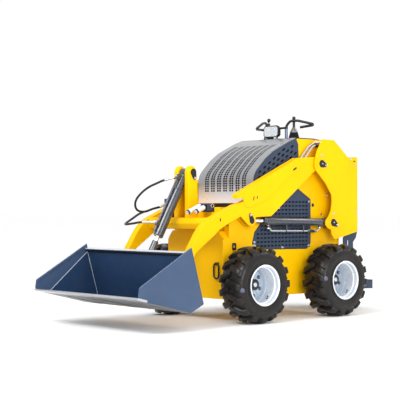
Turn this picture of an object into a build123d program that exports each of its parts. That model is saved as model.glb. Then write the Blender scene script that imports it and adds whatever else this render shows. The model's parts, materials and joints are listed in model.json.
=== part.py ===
from build123d import *
from math import atan, cos, degrees, hypot, pi, radians, sin, tan
import os

os.makedirs("parts", exist_ok=True)

# ---------------------------------------------------------------------------
# Compact stand-on skid steer loader with a general purpose bucket.
# Millimetres. +X forward, +Y to the machine's left, +Z up, floor at z = 0.
# Side outlines below are written from the front axle (x = 0 there) and are
# moved by FRONT_AXLE_X, which puts the origin under the middle of the length.
# ---------------------------------------------------------------------------
FRONT_AXLE_X = 158.0
WHEELBASE = 793.0
TYRE_R = 254.0
TYRE_W = 206.0
TYRE_Y = 438.0            # middle of the tyre, from the centre line
RIM_R = 127.0
CHASSIS_HALF = 282.0      # outside of the side plates
SIDE_T = 8.0
ARM_IN, ARM_OUT = 290.0, 346.0
TOWER_IN, TOWER_OUT = 352.0, 362.0
BUCKET_HALF = 552.0
PIN_CLEAR = 0.05          # radial running clearance of a pin
EYE_BORE = 9.0            # lashing eye on the side plate

ARM_PIVOT = (-740.0, 1074.0)      # upper tower pin
LIFT_BASE = (-860.0, 656.0)       # lower tower pin
LIFT_EYE = (-64.0, 676.0)         # lug under the arm's elbow
BUCKET_PIVOT = (530.0, 262.0)
TILT_TOP = (222.0, 1002.0)        # ears above the cross member
TILT_EYE = (559.0, 412.0)         # bracket behind the bucket

# Hoses of the tilt cylinder, from the port fittings round to the manifold (x, y, z)
HOSE_R = 7.5
HOSE_ROUTES = {
    "tilt_hose_upper": [(344, -40, 956), (374, -54, 948), (424, -64, 926), (486, -62, 905), (546, -66, 868), (570, -100, 821), (555, -134, 778),
                        (505, -168, 740), (425, -177, 735), (373, -175, 756), (323, -162, 766), (292, -166, 776)],
    "tilt_hose_lower": [(545, -30, 669), (582, -44, 669), (611, -73, 661), (623, -116, 656), (613, -163, 652), (575, -207, 660), (503, -233, 687),
                        (436, -227, 728), (377, -212, 744), (331, -203, 760), (290, -198, 768), (262, -200, 778)],
}
FITTING_R, NUT_R = 8.5, 12.0


def moved(points):
    return [(FRONT_AXLE_X + x, z) for x, z in points]


def side_plane(y):
    """Plane whose local x, y are the model's X, Z, and whose normal is -Y."""
    return Plane(origin=(0, y, 0), x_dir=(1, 0, 0), z_dir=(0, -1, 0))


def prism(points, y0, y1, mode=Mode.ADD, corner=0.0):
    """A plate with a side outline, from y0 to y1."""
    with BuildSketch(side_plane(max(y0, y1))) as outline:
        with BuildLine():
            Polyline(*moved(points), close=True)
        make_face()
        if corner > 0:
            fillet(outline.vertices(), corner)
    extrude(outline.sketch, amount=abs(y1 - y0), mode=mode)


def disc(centre, r, y0, y1, mode=Mode.ADD, bore=0.0):
    """A round boss or pin across the machine."""
    x, z = moved([centre])[0]
    with BuildSketch(side_plane(max(y0, y1))) as outline:
        with Locations((x, z)):
            Circle(r)
            if bore > 0:
                Circle(bore, mode=Mode.SUBTRACT)
    extrude(outline.sketch, amount=abs(y1 - y0), mode=mode)


def block(x0, x1, y0, y1, z0, z1, mode=Mode.ADD):
    """A box from its low and high corners, x from the front axle."""
    with BuildSketch(Plane.XY.offset(z0)) as base:
        with Locations((FRONT_AXLE_X + (x0 + x1) / 2, (y0 + y1) / 2)):
            Rectangle(abs(x1 - x0), abs(y1 - y0))
    extrude(base.sketch, amount=z1 - z0, mode=mode)


def rod(start, end, r, mode=Mode.ADD, bore=0.0):
    """A round bar between two points (x from the front axle, y, z)."""
    a = Vector(FRONT_AXLE_X + start[0], start[1], start[2])
    b = Vector(FRONT_AXLE_X + end[0], end[1], end[2])
    with BuildSketch(Plane(origin=a, z_dir=(b - a).normalized())) as section:
        Circle(r)
        if bore > 0:
            Circle(bore, mode=Mode.SUBTRACT)
    extrude(section.sketch, amount=(b - a).length, mode=mode)


def tube_path(points, r, radius=None, mode=Mode.ADD):
    """A round tube along straight runs joined by tangent arcs."""
    pts = [Vector(FRONT_AXLE_X + x, y, z) for x, y, z in points]
    radii = []
    for a, b, c in zip(pts, pts[1:], pts[2:]):
        turn = (b - a).get_angle(c - b)
        short = min((b - a).length, (c - b).length)
        largest = 0.45 * short / tan(radians(turn) / 2)
        radii.append(largest if radius is None else min(radius, largest))
    with BuildLine() as path:
        FilletPolyline(*pts, radius=radii)
    start = Plane(origin=path.wires()[0] @ 0, z_dir=path.wires()[0] % 0)
    with BuildSketch(start) as section:
        Circle(r)
    sweep(section.sketch, path=path.wires()[0], mode=mode)
    return radii, path.wires()[0].length


def hose_fitting(end, towards, reach, nut, gap=0.0):
    """A hose's ferrule and nut, ending square to the hose, short of its end point by the gap."""
    n = hypot(*(t - e for t, e in zip(towards, end)))
    back = [tuple(e - d * (t - e) / n for e, t in zip(end, towards)) for d in (reach, reach - nut, gap)]
    rod(back[0], back[2], FITTING_R)
    rod(back[0], back[1], NUT_R)


def finish(builder, name):
    builder.part.label = name
    export_step(builder.part, f"parts/{name}.step")


# ---------------------------------------------------------------------------
# Chassis: side plates, front plate, belly, deck and rear plate, one weldment
# ---------------------------------------------------------------------------
SIDE_OUTLINE = [
    (140, 155), (140, 552), (84, 552), (84, 655), (-140, 786), (-146, 790), (-146, 849), (-575, 1036),
    (-590, 1133), (-586, 1212), (-566, 1250), (-750, 1249), (-875, 1247),
    (-1024, 1129), (-1118, 1129), (-1118, 590), (-1010, 560), (-1010, 230),
    (-930, 155),
]
GRILLE_OUTLINE = [
    (-128, 520), (-165, 476), (-672, 470), (-712, 510), (-712, 824),
    (-561, 910), (-300, 745), (-235, 690), (-192, 640), (-150, 595),
]

with BuildPart() as chassis_frame:
    for y0, y1 in ((CHASSIS_HALF - SIDE_T, CHASSIS_HALF), (-CHASSIS_HALF, -CHASSIS_HALF + SIDE_T)):
        prism(SIDE_OUTLINE, y0, y1)
        prism(GRILLE_OUTLINE, y0, y1, mode=Mode.SUBTRACT)
    inner = CHASSIS_HALF - SIDE_T
    with BuildSketch(Plane(origin=(FRONT_AXLE_X + 130, 0, 0), x_dir=(0, 1, 0), z_dir=(1, 0, 0))) as front:
        with BuildLine():
            Polyline((-inner, 155), (inner, 155), (inner, 555), (235, 605), (-235, 605), (-inner, 555), close=True)
        make_face()
    extrude(front.sketch, amount=10)                    # front plate, upper corners cut off
    for s in (1, -1):                                   # sloping corner plates behind the cut corners
        with BuildSketch(Plane(origin=(FRONT_AXLE_X + 78, 0, 0), x_dir=(0, 1, 0), z_dir=(1, 0, 0))) as corner:
            with BuildLine():
                Polyline((s * CHASSIS_HALF, 546), (s * CHASSIS_HALF, 556), (s * 235, 605), (s * 228, 598), close=True)
            make_face()
        extrude(corner.sketch, amount=54)
        block(74, 84, s * 220, s * (inner + 2), 548, 650)
    block(-930, 130, -inner, inner, 155, 165)           # belly plate
    block(-1010, -1000, -inner, inner, 230, 600)        # rear plate
    prism([(-1010, 230), (-930, 155), (-930, 166), (-1004, 236)], -inner, inner)
    block(74, 132, -232, 232, 595, 604)                 # front step
    block(74, 84, -228, 228, 600, 650)
    block(-600, 84, -inner, inner, 640, 650)            # deck
    block(-1118, -1110, -inner, inner, 590, 1129)       # back of the tower
    for y in (CHASSIS_HALF, -CHASSIS_HALF):
        for centre in (ARM_PIVOT, LIFT_BASE):
            disc(centre, 25.0, y - 12, y + 12, mode=Mode.SUBTRACT)
finish(chassis_frame, "chassis_frame")

# ---------------------------------------------------------------------------
# Towers: the outer plates that carry the arm and lift cylinder pins
# ---------------------------------------------------------------------------
TOWER_OUTLINE = [
    (-750, 1249), (-875, 1247), (-1024, 1129), (-1129, 1133), (-1129, 588),
    (-876, 533), (-845, 572), (-845, 600), (-800, 622), (-783, 645), (-783, 668),
    (-815, 700), (-840, 740), (-852, 800), (-849, 850), (-790, 930), (-690, 1020),
    (-671, 1049), (-674, 1090), (-690, 1150),
]
with BuildPart() as arm_towers:
    for s in (1, -1):
        prism(TOWER_OUTLINE, s * TOWER_IN, s * TOWER_OUT)
        block(-1129, -1119, s * CHASSIS_HALF, s * TOWER_IN, 600, 1120)
        block(-1119, -1000, s * CHASSIS_HALF, s * TOWER_IN, 1112, 1120)
        for centre in (ARM_PIVOT, LIFT_BASE):
            disc(centre, 25.0, s * (TOWER_IN - 2), s * (TOWER_OUT + 2), mode=Mode.SUBTRACT)
finish(arm_towers, "arm_towers")

# Pins across each tower, with their heads on the outside
with BuildPart() as tower_pins:
    for s in (1, -1):
        for centre in (ARM_PIVOT, LIFT_BASE):
            disc(centre, 25.0, s * (CHASSIS_HALF - SIDE_T - 10), s * (TOWER_OUT + 6))
            disc(centre, 33.0, s * (CHASSIS_HALF - SIDE_T - 14), s * (CHASSIS_HALF - SIDE_T - 4))
finish(tower_pins, "tower_pins")

# ---------------------------------------------------------------------------
# Rear: closing panel, guard frame, fold-up operator platform
# ---------------------------------------------------------------------------
with BuildPart() as rear_panel:
    block(-1127, -1119, -250, 250, 640, 1110)
    for z in (700, 820, 940, 1060):
        block(-1133, -1127, -200, 200, z - 8, z + 8)
finish(rear_panel, "rear_panel")

GUARD_OUTER = [
    (-1133, 727), (-1152, 722), (-1166, 690), (-1168, 590), (-1150, 540), (-1120, 510),
    (-1120, 380), (-1012, 380), (-1012, 545), (-1050, 570), (-1110, 580), (-1140, 600), (-1152, 690), (-1146, 712),
    (-1133, 716),
]
HINGE = (-1085.0, 190.0)
with BuildPart() as rear_guard:
    for s in (1, -1):
        prism(GUARD_OUTER, s * 318, s * 326)
        block(-1060, -1020, s * 326, s * 292, 400, 440)
        prism([(-1118, 150), (-1050, 150), (-1018, 230), (-1018, 440), (-1060, 440), (-1060, 250), (-1118, 215)], s * 292, s * 300)
        disc(HINGE, 12.0 + PIN_CLEAR, s * 290, s * 302, mode=Mode.SUBTRACT)
        block(-1018, -1010, s * 200, s * 300, 260, 430)
finish(rear_guard, "rear_guard")

with BuildPart() as platform:
    block(-1385, -1130, -285, 285, 186, 190)
    for y0, y1 in ((279, 285), (-285, -279)):
        prism([(-1385, 155), (-1060, 165), (-1060, 215), (-1130, 222), (-1385, 222)], y0, y1)
    block(-1391, -1385, -285, 285, 155, 222)
    block(-1130, -1124, -279, 279, 165, 215)
    for s in (1, -1):
        disc(HINGE, 12.0, s * 279, s * 304)
finish(platform, "platform")

# ---------------------------------------------------------------------------
# Engine compartment: hood, side panels, grilles, engine, console
# ---------------------------------------------------------------------------
HOOD_LINE = [                      # outside of the sheet, from the lip to the console
    (-140, 794), (-140, 975), (-168, 1020), (-256, 1104), (-337, 1160), (-495, 1232), (-562, 1256),
]
HOOD_T = 5.0
HOOD_IN = [
    (-562, 1250.5), (-497, 1227), (-339.6, 1155.2), (-259, 1100), (-172, 1017), (-145, 973), (-145, 794),
]
with BuildPart() as hood_cover:
    prism(HOOD_LINE + HOOD_IN, -CHASSIS_HALF, CHASSIS_HALF)
finish(hood_cover, "hood_cover")

HOOD_SIDE = [
    (-146, 850), (-146, 972.7), (-173, 1016.5), (-259.7, 1099.3), (-340, 1154.4), (-497.4, 1226.2),
    (-558, 1248.5), (-564, 1250), (-585.5, 1212), (-589.5, 1133), (-575, 1036.8),
]
with BuildPart() as hood_sides:
    for s in (1, -1):
        prism(HOOD_SIDE, s * (CHASSIS_HALF - 6), s * CHASSIS_HALF)
finish(hood_sides, "hood_sides")

with BuildPart() as side_grilles:
    for s in (1, -1):
        prism([(-130, 521), (-166, 478), (-671, 472), (-710, 511), (-710, 822), (-561, 907), (-301, 742), (-237, 688), (-194, 638), (-152, 594)],
              s * (CHASSIS_HALF - 6), s * (CHASSIS_HALF + 1))
finish(side_grilles, "side_grilles")

with BuildPart() as engine_block:
    block(-600, -230, -190, 190, 652, 960)
finish(engine_block, "engine_block")

CONSOLE = [(-562, 1256), (-562, 1240), (-590, 1170), (-1060, 1100), (-1060, 1128), (-1024, 1128), (-875, 1245), (-760, 1258), (-566, 1258)]
with BuildPart() as control_console:
    prism(CONSOLE, -CHASSIS_HALF + SIDE_T, CHASSIS_HALF - SIDE_T)
finish(control_console, "control_console")

# Hand-hold bars: a post on each side of the console, its top bent outwards into a
# hairpin that is held from the side, and a cross bar between the posts
POST = (-655.0, 97.0)
BAR_R, CROSS_R = 9.5, 8.0
with BuildPart() as grab_bars:
    for s in (1, -1):
        tube_path([(POST[0], s * POST[1], 1258), (POST[0], s * POST[1], 1352), (-668, s * 124, 1392), (-690, s * 178, 1396),
                   (-733, s * 283, 1374), (-733, s * 283, 1346), (-702, s * 192, 1340)], BAR_R, 40.0)
    rod((POST[0], -POST[1], 1340), (POST[0], POST[1], 1340), CROSS_R)
finish(grab_bars, "grab_bars")

# Two levers with rubber boots
LEVER = (-703.0, 127.5)
LEVER_STEPS = [(1258, 42), (1270, 42), (1311, 30), (1343, 12), (1386, 10), (1402, 8)]      # height, radius
with BuildPart() as control_levers:
    for s in (1, -1):
        spine = Axis((FRONT_AXLE_X + LEVER[0], s * LEVER[1], 0), (0, 0, 1))
        x0 = FRONT_AXLE_X + LEVER[0]
        with BuildSketch(Plane(origin=(0, s * LEVER[1], 0), x_dir=(1, 0, 0), z_dir=(0, -1, 0))) as half:
            with BuildLine():
                Polyline((x0, 1258), *[(x0 + r, z) for z, r in LEVER_STEPS], (x0, 1402), close=True)
            make_face()
        revolve(half.sketch, axis=spine)
        with Locations((x0, s * LEVER[1], 1410)):
            Sphere(13)
finish(control_levers, "control_levers")

# Work light on a bracket in front of the posts
LIGHT_X, LIGHT_Z = -589.0, 1315.0
with BuildPart() as work_light:
    with BuildSketch(Plane(origin=(FRONT_AXLE_X + LIGHT_X - 42, 0, LIGHT_Z), x_dir=(0, 1, 0), z_dir=(1, 0, 0))) as housing:
        Rectangle(152, 88)
        chamfer(housing.vertices(), 16)
    extrude(housing.sketch, amount=38)
    for s in (1, -1):
        block(LIGHT_X - 34, LIGHT_X - 14, s * 34, s * 54, 1258, LIGHT_Z - 40)
    block(LIGHT_X - 38, LIGHT_X - 8, -62, 62, 1258, 1263)
finish(work_light, "work_light")

with BuildPart() as work_light_lens:
    with BuildSketch(Plane(origin=(FRONT_AXLE_X + LIGHT_X - 4, 0, LIGHT_Z), x_dir=(0, 1, 0), z_dir=(1, 0, 0))) as glass:
        Rectangle(138, 75)
        chamfer(glass.vertices(), 12)
    extrude(glass.sketch, amount=6)
finish(work_light_lens, "work_light_lens")

# Lashing rings on the front plate: long links welded on by their top bend
RING_Z, RING_HIGH, RING_WIDE, RING_BAR = 342.0, 114.0, 60.0, 12.0
with BuildPart() as lashing_rings:
    for s in (1, -1):
        y = s * 228
        block(140, 147, y - 15, y + 15, 384, 399)
        with BuildSketch(Plane(origin=(FRONT_AXLE_X + 146, y, RING_Z), x_dir=(0, 1, 0), z_dir=(1, 0, 0))) as link:
            SlotOverall(RING_HIGH, RING_WIDE, rotation=90)
            SlotOverall(RING_HIGH - 2 * RING_BAR, RING_WIDE - 2 * RING_BAR, rotation=90, mode=Mode.SUBTRACT)
        extrude(link.sketch, amount=RING_BAR)
    for s in (1, -1):                                   # flat eyes on the side plates
        with BuildSketch(side_plane(CHASSIS_HALF + 8 if s > 0 else -CHASSIS_HALF)) as eye:
            with Locations((FRONT_AXLE_X + 42, 503)):
                Rectangle(34, 50)
                Circle(EYE_BORE, mode=Mode.SUBTRACT)
        extrude(eye.sketch, amount=8)
finish(lashing_rings, "lashing_rings")

# Wheel motors bolted to the side plates, each with a stub axle
WHEELS = {"front_left": (0.0, 1), "front_right": (0.0, -1), "rear_left": (-WHEELBASE, 1), "rear_right": (-WHEELBASE, -1)}
with BuildPart() as wheel_motors:
    for x, s in WHEELS.values():
        disc((x, TYRE_R), 75, s * CHASSIS_HALF, s * (CHASSIS_HALF + 10))
        disc((x, TYRE_R), 55, s * (CHASSIS_HALF + 10), s * 390)
        disc((x, TYRE_R), 20, s * 390, s * 440)
finish(wheel_motors, "wheel_motors")

# ---------------------------------------------------------------------------
# Wheels
# ---------------------------------------------------------------------------
TYRE_SECTION = [           # radius, offset across the tyre from its middle
    (128, -84), (150, -98), (185, -103), (222, -98), (243, -84), (254, -60), (254, 60), (243, 84), (222, 98), (185, 103), (150, 98), (128, 84),
    (128, 80), (150, 90), (185, 95), (220, 90), (236, 76), (244, 56), (244, -56), (236, -76), (220, -90), (185, -95), (150, -90), (128, -80),
]
for name, (x, s) in WHEELS.items():
    hub = Plane(origin=(FRONT_AXLE_X + x, 0, TYRE_R), x_dir=(0, s, 0), z_dir=(1, 0, 0))
    spin = Axis((FRONT_AXLE_X + x, 0, TYRE_R), (0, 1, 0))
    with BuildPart() as tyre:
        with BuildSketch(hub) as section:
            with BuildLine():
                Polyline(*[(TYRE_Y + o, s * r) for r, o in TYRE_SECTION], close=True)
            make_face()
        revolve(section.sketch, axis=spin)
    finish(tyre, f"{name}_tyre")
    with BuildPart() as rim:
        with BuildSketch(hub) as section:
            with BuildLine():
                Polyline(*[(TYRE_Y + o, s * r) for r, o in (
                    (127.9, -98), (127.9, -80), (120, -60), (120, 60), (127.9, 80), (127.9, 98), (133, 100), (133, 103),
                    (122, 103), (122, 82), (114, 64), (114, -8), (70, -26), (20.05, -26), (20.05, -32), (72, -32), (114, -16), (114, -60), (122, -80), (122, -98))], close=True)
            make_face()
        revolve(section.sketch, axis=spin)
        with BuildSketch(hub) as section:
            with BuildLine():
                Polyline(*[(TYRE_Y + o, s * r) for r, o in ((20.05, -26), (38, -26), (38, 6), (22, 10), (0, 10), (0, 4), (20.05, 4))], close=True)
            make_face()
        revolve(section.sketch, axis=spin)
    finish(rim, f"{name}_rim")

# ---------------------------------------------------------------------------
# Lift arms
# ---------------------------------------------------------------------------
ARM_OUTLINE = [
    (498, 262), (494, 340), (478, 412), (434, 472), (400, 497), (313, 556), (269, 586), (225, 621), (136, 664), (36, 704),
    (-22, 655), (-42, 643), (-64, 638), (-88, 645), (-102, 662), (-100, 700), (-249, 704), (-681, 1018),
    (-716, 1030), (-736, 1024), (-775, 1040), (-790, 1074), (-776, 1108), (-740, 1124), (-620, 1116), (-512, 1098), (68, 838), (68, 822),
    (-26, 829), (-34, 817), (37, 794), (85, 781), (130, 762), (176, 748), (225, 725), (296, 696), (323, 682), (372, 642), (410, 596), (440, 550),
    (484, 484), (532, 405), (556, 330), (562, 262), (553, 239), (530, 230), (507, 239),
]
with BuildPart() as lift_arms:
    for s in (1, -1):
        prism(ARM_OUTLINE, s * ARM_IN, s * ARM_OUT)
        # slot for the lift cylinder's rod end, between the lug's two plates
        prism([(0, 600), (0, 722), (-100, 722), (-360, 798), (-360, 600)], s * (ARM_IN + 10), s * (ARM_OUT - 10), mode=Mode.SUBTRACT)
        prism([(60, 838), (-512, 1094), (-512, 1110), (68, 850), (68, 838)], s * ARM_IN, s * ARM_OUT)
        disc(ARM_PIVOT, 25.0 + PIN_CLEAR, s * ARM_IN, s * ARM_OUT, mode=Mode.SUBTRACT)
        disc(BUCKET_PIVOT, 15.0, s * ARM_IN, s * ARM_OUT, mode=Mode.SUBTRACT)
        disc(LIFT_EYE, 15.0, s * ARM_IN, s * ARM_OUT, mode=Mode.SUBTRACT)
finish(lift_arms, "lift_arms")

EAR_IN, EAR_OUT = 34.0, 76.0
EAR = [(178, 690), (178, 815), (186, 950), (188, 990), (195, 1018), (208, 1038), (226, 1046), (243, 1040), (256, 1022), (262, 1000),
       (262, 815), (262, 690)]
with BuildPart() as arm_crossbar:
    prism([(165, 630), (165, 697), (300, 697), (320, 660), (300, 620)], -ARM_IN, ARM_IN)
    for s in (1, -1):
        prism(EAR, s * EAR_IN, s * EAR_OUT)
        disc(TILT_TOP, 15.0, s * (EAR_IN - 4), s * (EAR_OUT + 4), mode=Mode.SUBTRACT)
    prism([(178, 690), (178, 815), (185, 930), (195, 930), (190, 815), (190, 690)], -EAR_IN, EAR_IN)    # web behind the cylinder
    for s in (1, -1):                                   # upstand between the ears and the arms, higher at the arm
        block(165, 179, s * (EAR_OUT - 2), s * ARM_IN, 690, 735)
        block(165, 179, s * 240, s * ARM_IN, 730, 766)
finish(arm_crossbar, "arm_crossbar")

# Pins carried by the arms: bucket pins, lug pin heads, ear pin
with BuildPart() as arm_pins:
    for s in (1, -1):
        disc(BUCKET_PIVOT, 15.0, s * (ARM_IN - 30), s * (ARM_OUT + 30))
        disc(BUCKET_PIVOT, 24.0, s * (ARM_OUT + 20), s * (ARM_OUT + 30))
        disc(LIFT_EYE, 15.0, s * ARM_IN, s * (ARM_IN + 10))
        disc(LIFT_EYE, 15.0, s * (ARM_OUT - 10), s * (ARM_OUT + 4))
    disc(TILT_TOP, 15.0, -EAR_OUT - 4, EAR_OUT + 4)
finish(arm_pins, "arm_pins")

# Quick couplers for a powered attachment: screwed through an angle bracket on the
# upstand, each with an open socket at its front end
COUPLER_DIR = (0.9205, -0.3907)
COUPLERS = [((343, 156, 730), 170.0), ((303, 196, 735), 130.0)]      # tip, length before the bracket cuts it
COUPLER_R, SOCKET_R, SOCKET_DEPTH = 16.5, 10.5, 22.0
BRACKET_X = 231.0                    # front face of the bracket
with BuildPart() as coupler_bracket:
    block(BRACKET_X - 10, BRACKET_X, 132, 216, 741, 791)
    block(146, BRACKET_X, 208, 216, 741, 791)
    block(146, BRACKET_X, 132, 216, 735, 743)           # foot on the upstand
    disc((173, 776), 9.0, 200, 220, mode=Mode.SUBTRACT)
finish(coupler_bracket, "coupler_bracket")

with BuildPart() as couplers:
    for tip, reach in COUPLERS:
        def at(d):
            return (tip[0] - COUPLER_DIR[0] * d, tip[1], tip[2] - COUPLER_DIR[1] * d)
        rod(at(reach), at(0), COUPLER_R)
        rod(at(SOCKET_DEPTH), at(-5), SOCKET_R, mode=Mode.SUBTRACT)
    block(100, BRACKET_X, 120, 230, 650, 900, mode=Mode.SUBTRACT)
finish(couplers, "couplers")

# Manifold on the cross member's far side, with the two fittings of the tilt hoses
MANIFOLD_REACH = {"tilt_hose_upper": 74.0, "tilt_hose_lower": 42.0}
with BuildPart() as hose_manifold:
    block(190, 226, -224, -152, 697, 826)
    for name, reach in MANIFOLD_REACH.items():
        hose_fitting(HOSE_ROUTES[name][-1], HOSE_ROUTES[name][-2], reach, 22)
finish(hose_manifold, "hose_manifold")

# Steel tubes over the top of each arm, from the tower into the arm
ARM_TUBES = [[(-800, 1229), (-735, 1228), (-668, 1192), (-626, 1149), (-578, 1099)],
             [(-770, 1203), (-703, 1202), (-650, 1150), (-612, 1106)]]
with BuildPart() as arm_tubes:
    for s in (1, -1):
        for k, line in enumerate(ARM_TUBES):
            y = s * (300 + 18 * k)
            tube_path([(x, y, z) for x, z in line], 8.0, 50.0)
            rod((line[0][0] - 26, y, line[0][1]), (line[0][0], y, line[0][1]), 12)
        prism(ARM_OUTLINE, s * (ARM_IN - 4), s * (ARM_OUT + 4), mode=Mode.SUBTRACT)
finish(arm_tubes, "arm_tubes")

# ---------------------------------------------------------------------------
# Lift cylinders
# ---------------------------------------------------------------------------
BARREL_Y = (ARM_IN + ARM_OUT) / 2
FEED_R, FEED_Z = 7.0, 604.0          # steel feed tube under each lift barrel
LIFT_LEN = hypot(LIFT_EYE[0] - LIFT_BASE[0], LIFT_EYE[1] - LIFT_BASE[1])
lift_dir = ((LIFT_EYE[0] - LIFT_BASE[0]) / LIFT_LEN, (LIFT_EYE[1] - LIFT_BASE[1]) / LIFT_LEN)


def along(base, direction, d):
    return (base[0] + direction[0] * d, base[1] + direction[1] * d)


for name, s in (("left", 1), ("right", -1)):
    with BuildPart() as barrel:
        a, b = along(LIFT_BASE, lift_dir, 38), along(LIFT_BASE, lift_dir, 665)
        rod((a[0], s * BARREL_Y, a[1]), (b[0], s * BARREL_Y, b[1]), 28)
        disc(LIFT_BASE, 42, s * (BARREL_Y - 25), s * (BARREL_Y + 25))
        disc(LIFT_BASE, 25.0 + PIN_CLEAR, s * (BARREL_Y - 30), s * (BARREL_Y + 30), mode=Mode.SUBTRACT)
        tube_path([(-246, s * BARREL_Y, 662), (-246, s * BARREL_Y, 636), (-275, s * BARREL_Y, FEED_Z), (-730, s * BARREL_Y, FEED_Z - 8),
                   (-762, s * BARREL_Y, 616), (-762, s * BARREL_Y, 650)], FEED_R, 24.0)
        c = along(LIFT_BASE, lift_dir, 70)
        e = along(LIFT_BASE, lift_dir, 675)
        rod((c[0], s * BARREL_Y, c[1]), (e[0], s * BARREL_Y, e[1]), 15.0 + PIN_CLEAR, mode=Mode.SUBTRACT)
    finish(barrel, f"{name}_lift_barrel")
    with BuildPart() as lift_rod:
        a = along(LIFT_BASE, lift_dir, 120)
        b = along(LIFT_BASE, lift_dir, LIFT_LEN - 20)
        rod((a[0], s * BARREL_Y, a[1]), (b[0], s * BARREL_Y, b[1]), 15)
        disc(LIFT_EYE, 27, s * (BARREL_Y - 14), s * (BARREL_Y + 14))
        disc(LIFT_EYE, 15.2, s * (BARREL_Y - 20), s * (BARREL_Y + 20), mode=Mode.SUBTRACT)
    finish(lift_rod, f"{name}_lift_rod")

# ---------------------------------------------------------------------------
# Tilt cylinder, from the ears to the bracket behind the bucket
# ---------------------------------------------------------------------------
TILT_LEN = hypot(TILT_EYE[0] - TILT_TOP[0], TILT_EYE[1] - TILT_TOP[1])
tilt_dir = ((TILT_EYE[0] - TILT_TOP[0]) / TILT_LEN, (TILT_EYE[1] - TILT_TOP[1]) / TILT_LEN)
tilt_front = (-tilt_dir[1], tilt_dir[0])        # square to the cylinder, to the front
NECK_R, BARREL_R = 29.0, 34.0        # between the ears, and below them
NECK_END = 140.0


def tilt_cylinder(mode=Mode.ADD):
    for d0, d1, r in ((20, NECK_END + 1, NECK_R), (NECK_END, 492, BARREL_R)):
        a, b = along(TILT_TOP, tilt_dir, d0), along(TILT_TOP, tilt_dir, d1)
        rod((a[0], 0, a[1]), (b[0], 0, b[1]), r, mode=mode)


with BuildPart() as tilt_barrel:
    tilt_cylinder()
    disc(TILT_TOP, NECK_R, -30, 30)
    disc(TILT_TOP, 15.0 + PIN_CLEAR, -34, 34, mode=Mode.SUBTRACT)
    c = along(TILT_TOP, tilt_dir, 60)
    d = along(TILT_TOP, tilt_dir, 500)
    rod((c[0], 0, c[1]), (d[0], 0, d[1]), 14.05, mode=Mode.SUBTRACT)
finish(tilt_barrel, "tilt_barrel")

with BuildPart() as tilt_rod:
    a, b = along(TILT_TOP, tilt_dir, 110), along(TILT_TOP, tilt_dir, TILT_LEN - 22)
    rod((a[0], 0, a[1]), (b[0], 0, b[1]), 14)
    e = along(TILT_TOP, tilt_dir, 530)
    rod((e[0], 0, e[1]), (b[0], 0, b[1]), 22)
    disc(TILT_EYE, 28, -24, 24)
    disc(TILT_EYE, 15.2, -30, 30, mode=Mode.SUBTRACT)
finish(tilt_rod, "tilt_rod")

# Feed tube along the front of the tilt barrel between two port blocks, each with
# the screwed fitting that a hose is pushed on
TUBE_OFF, TUBE_R = 44.0, 8.0
PORT_REACH = {"tilt_hose_upper": 66.0, "tilt_hose_lower": 84.0}

with BuildPart() as tilt_ports:
    for d in (60, 420):
        p = along(along(TILT_TOP, tilt_dir, d), tilt_front, 43)
        with BuildSketch(side_plane(14)) as body:
            with Locations(Location((FRONT_AXLE_X + p[0], p[1]), degrees(atan(tilt_front[1] / tilt_front[0])))):
                Rectangle(28, 34)
        extrude(body.sketch, amount=28)
    a = along(along(TILT_TOP, tilt_dir, 60), tilt_front, TUBE_OFF)
    b = along(along(TILT_TOP, tilt_dir, 478), tilt_front, TUBE_OFF)
    rod((a[0], 0, a[1]), (b[0], 0, b[1]), TUBE_R)
    for name, reach in PORT_REACH.items():
        hose_fitting(HOSE_ROUTES[name][0], HOSE_ROUTES[name][1], reach, 26, gap=1.6)
    tilt_cylinder(mode=Mode.SUBTRACT)
finish(tilt_ports, "tilt_ports")

# ---------------------------------------------------------------------------
# Bucket
# ---------------------------------------------------------------------------
BUCKET_SIDE = [(649, 519), (1059, 289), (1071, 217), (654, 116), (549, 164)]
EDGE_OUTLINE = [(1075, 218), (1000, 199.8), (999, 206.2), (997, 214), (1073, 232)]


def back_x(z):
    """Outside of the bucket's back plate at a height."""
    return 549 + (z - 164) * 100 / 355


with BuildPart() as bucket_shell:
    for s in (1, -1):
        prism(BUCKET_SIDE, s * (BUCKET_HALF - 6), s * BUCKET_HALF)
        prism([(1085, 190), (997, 190), (997, 214), (1073, 232), (1085, 233)], s * (BUCKET_HALF - 8), s * (BUCKET_HALF + 2), mode=Mode.SUBTRACT)
    w = BUCKET_HALF - 6
    prism([(1000, 199.8), (654, 116), (549, 164), (641.7, 493), (667, 486.5), (665, 480), (646, 485), (556, 168), (655, 123), (999, 206.2)], -w, w)
finish(bucket_shell, "bucket_shell")

with BuildPart() as cutting_edge:
    prism(EDGE_OUTLINE, -BUCKET_HALF, BUCKET_HALF)
finish(cutting_edge, "cutting_edge")

with BuildPart() as bucket_brackets:
    for s in (1, -1):
        for y in (ARM_IN - 22, ARM_OUT + 6):
            prism([(back_x(170), 170), (back_x(345), 345), (575, 350), (500, 285), (496, 255), (510, 225)], s * y, s * (y + 12))
            disc(BUCKET_PIVOT, 15.0 + PIN_CLEAR, s * (y - 2), s * (y + 14), mode=Mode.SUBTRACT)
    for s in (1, -1):
        prism([(back_x(345), 345), (back_x(462), 462), (590, 450), (545, 440), (530, 420), (535, 395), (560, 375)], s * 30, s * 42)
        disc(TILT_EYE, 15.0, s * 26, s * 46, mode=Mode.SUBTRACT)
finish(bucket_brackets, "bucket_brackets")

with BuildPart() as tilt_eye_pins:
    for s in (1, -1):
        disc(TILT_EYE, 15.0, s * 30, s * 46)
finish(tilt_eye_pins, "tilt_eye_pins")

# ---------------------------------------------------------------------------
# Hoses of the tilt cylinder
# ---------------------------------------------------------------------------
for name, route in HOSE_ROUTES.items():
    with BuildPart() as hose:
        radii, length = tube_path(route, HOSE_R)
    print(name, "radii", [round(v) for v in radii], "length", round(length), "volume ratio",
          round(hose.part.volume / (pi * HOSE_R ** 2 * length), 4))
    finish(hose, name)
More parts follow.
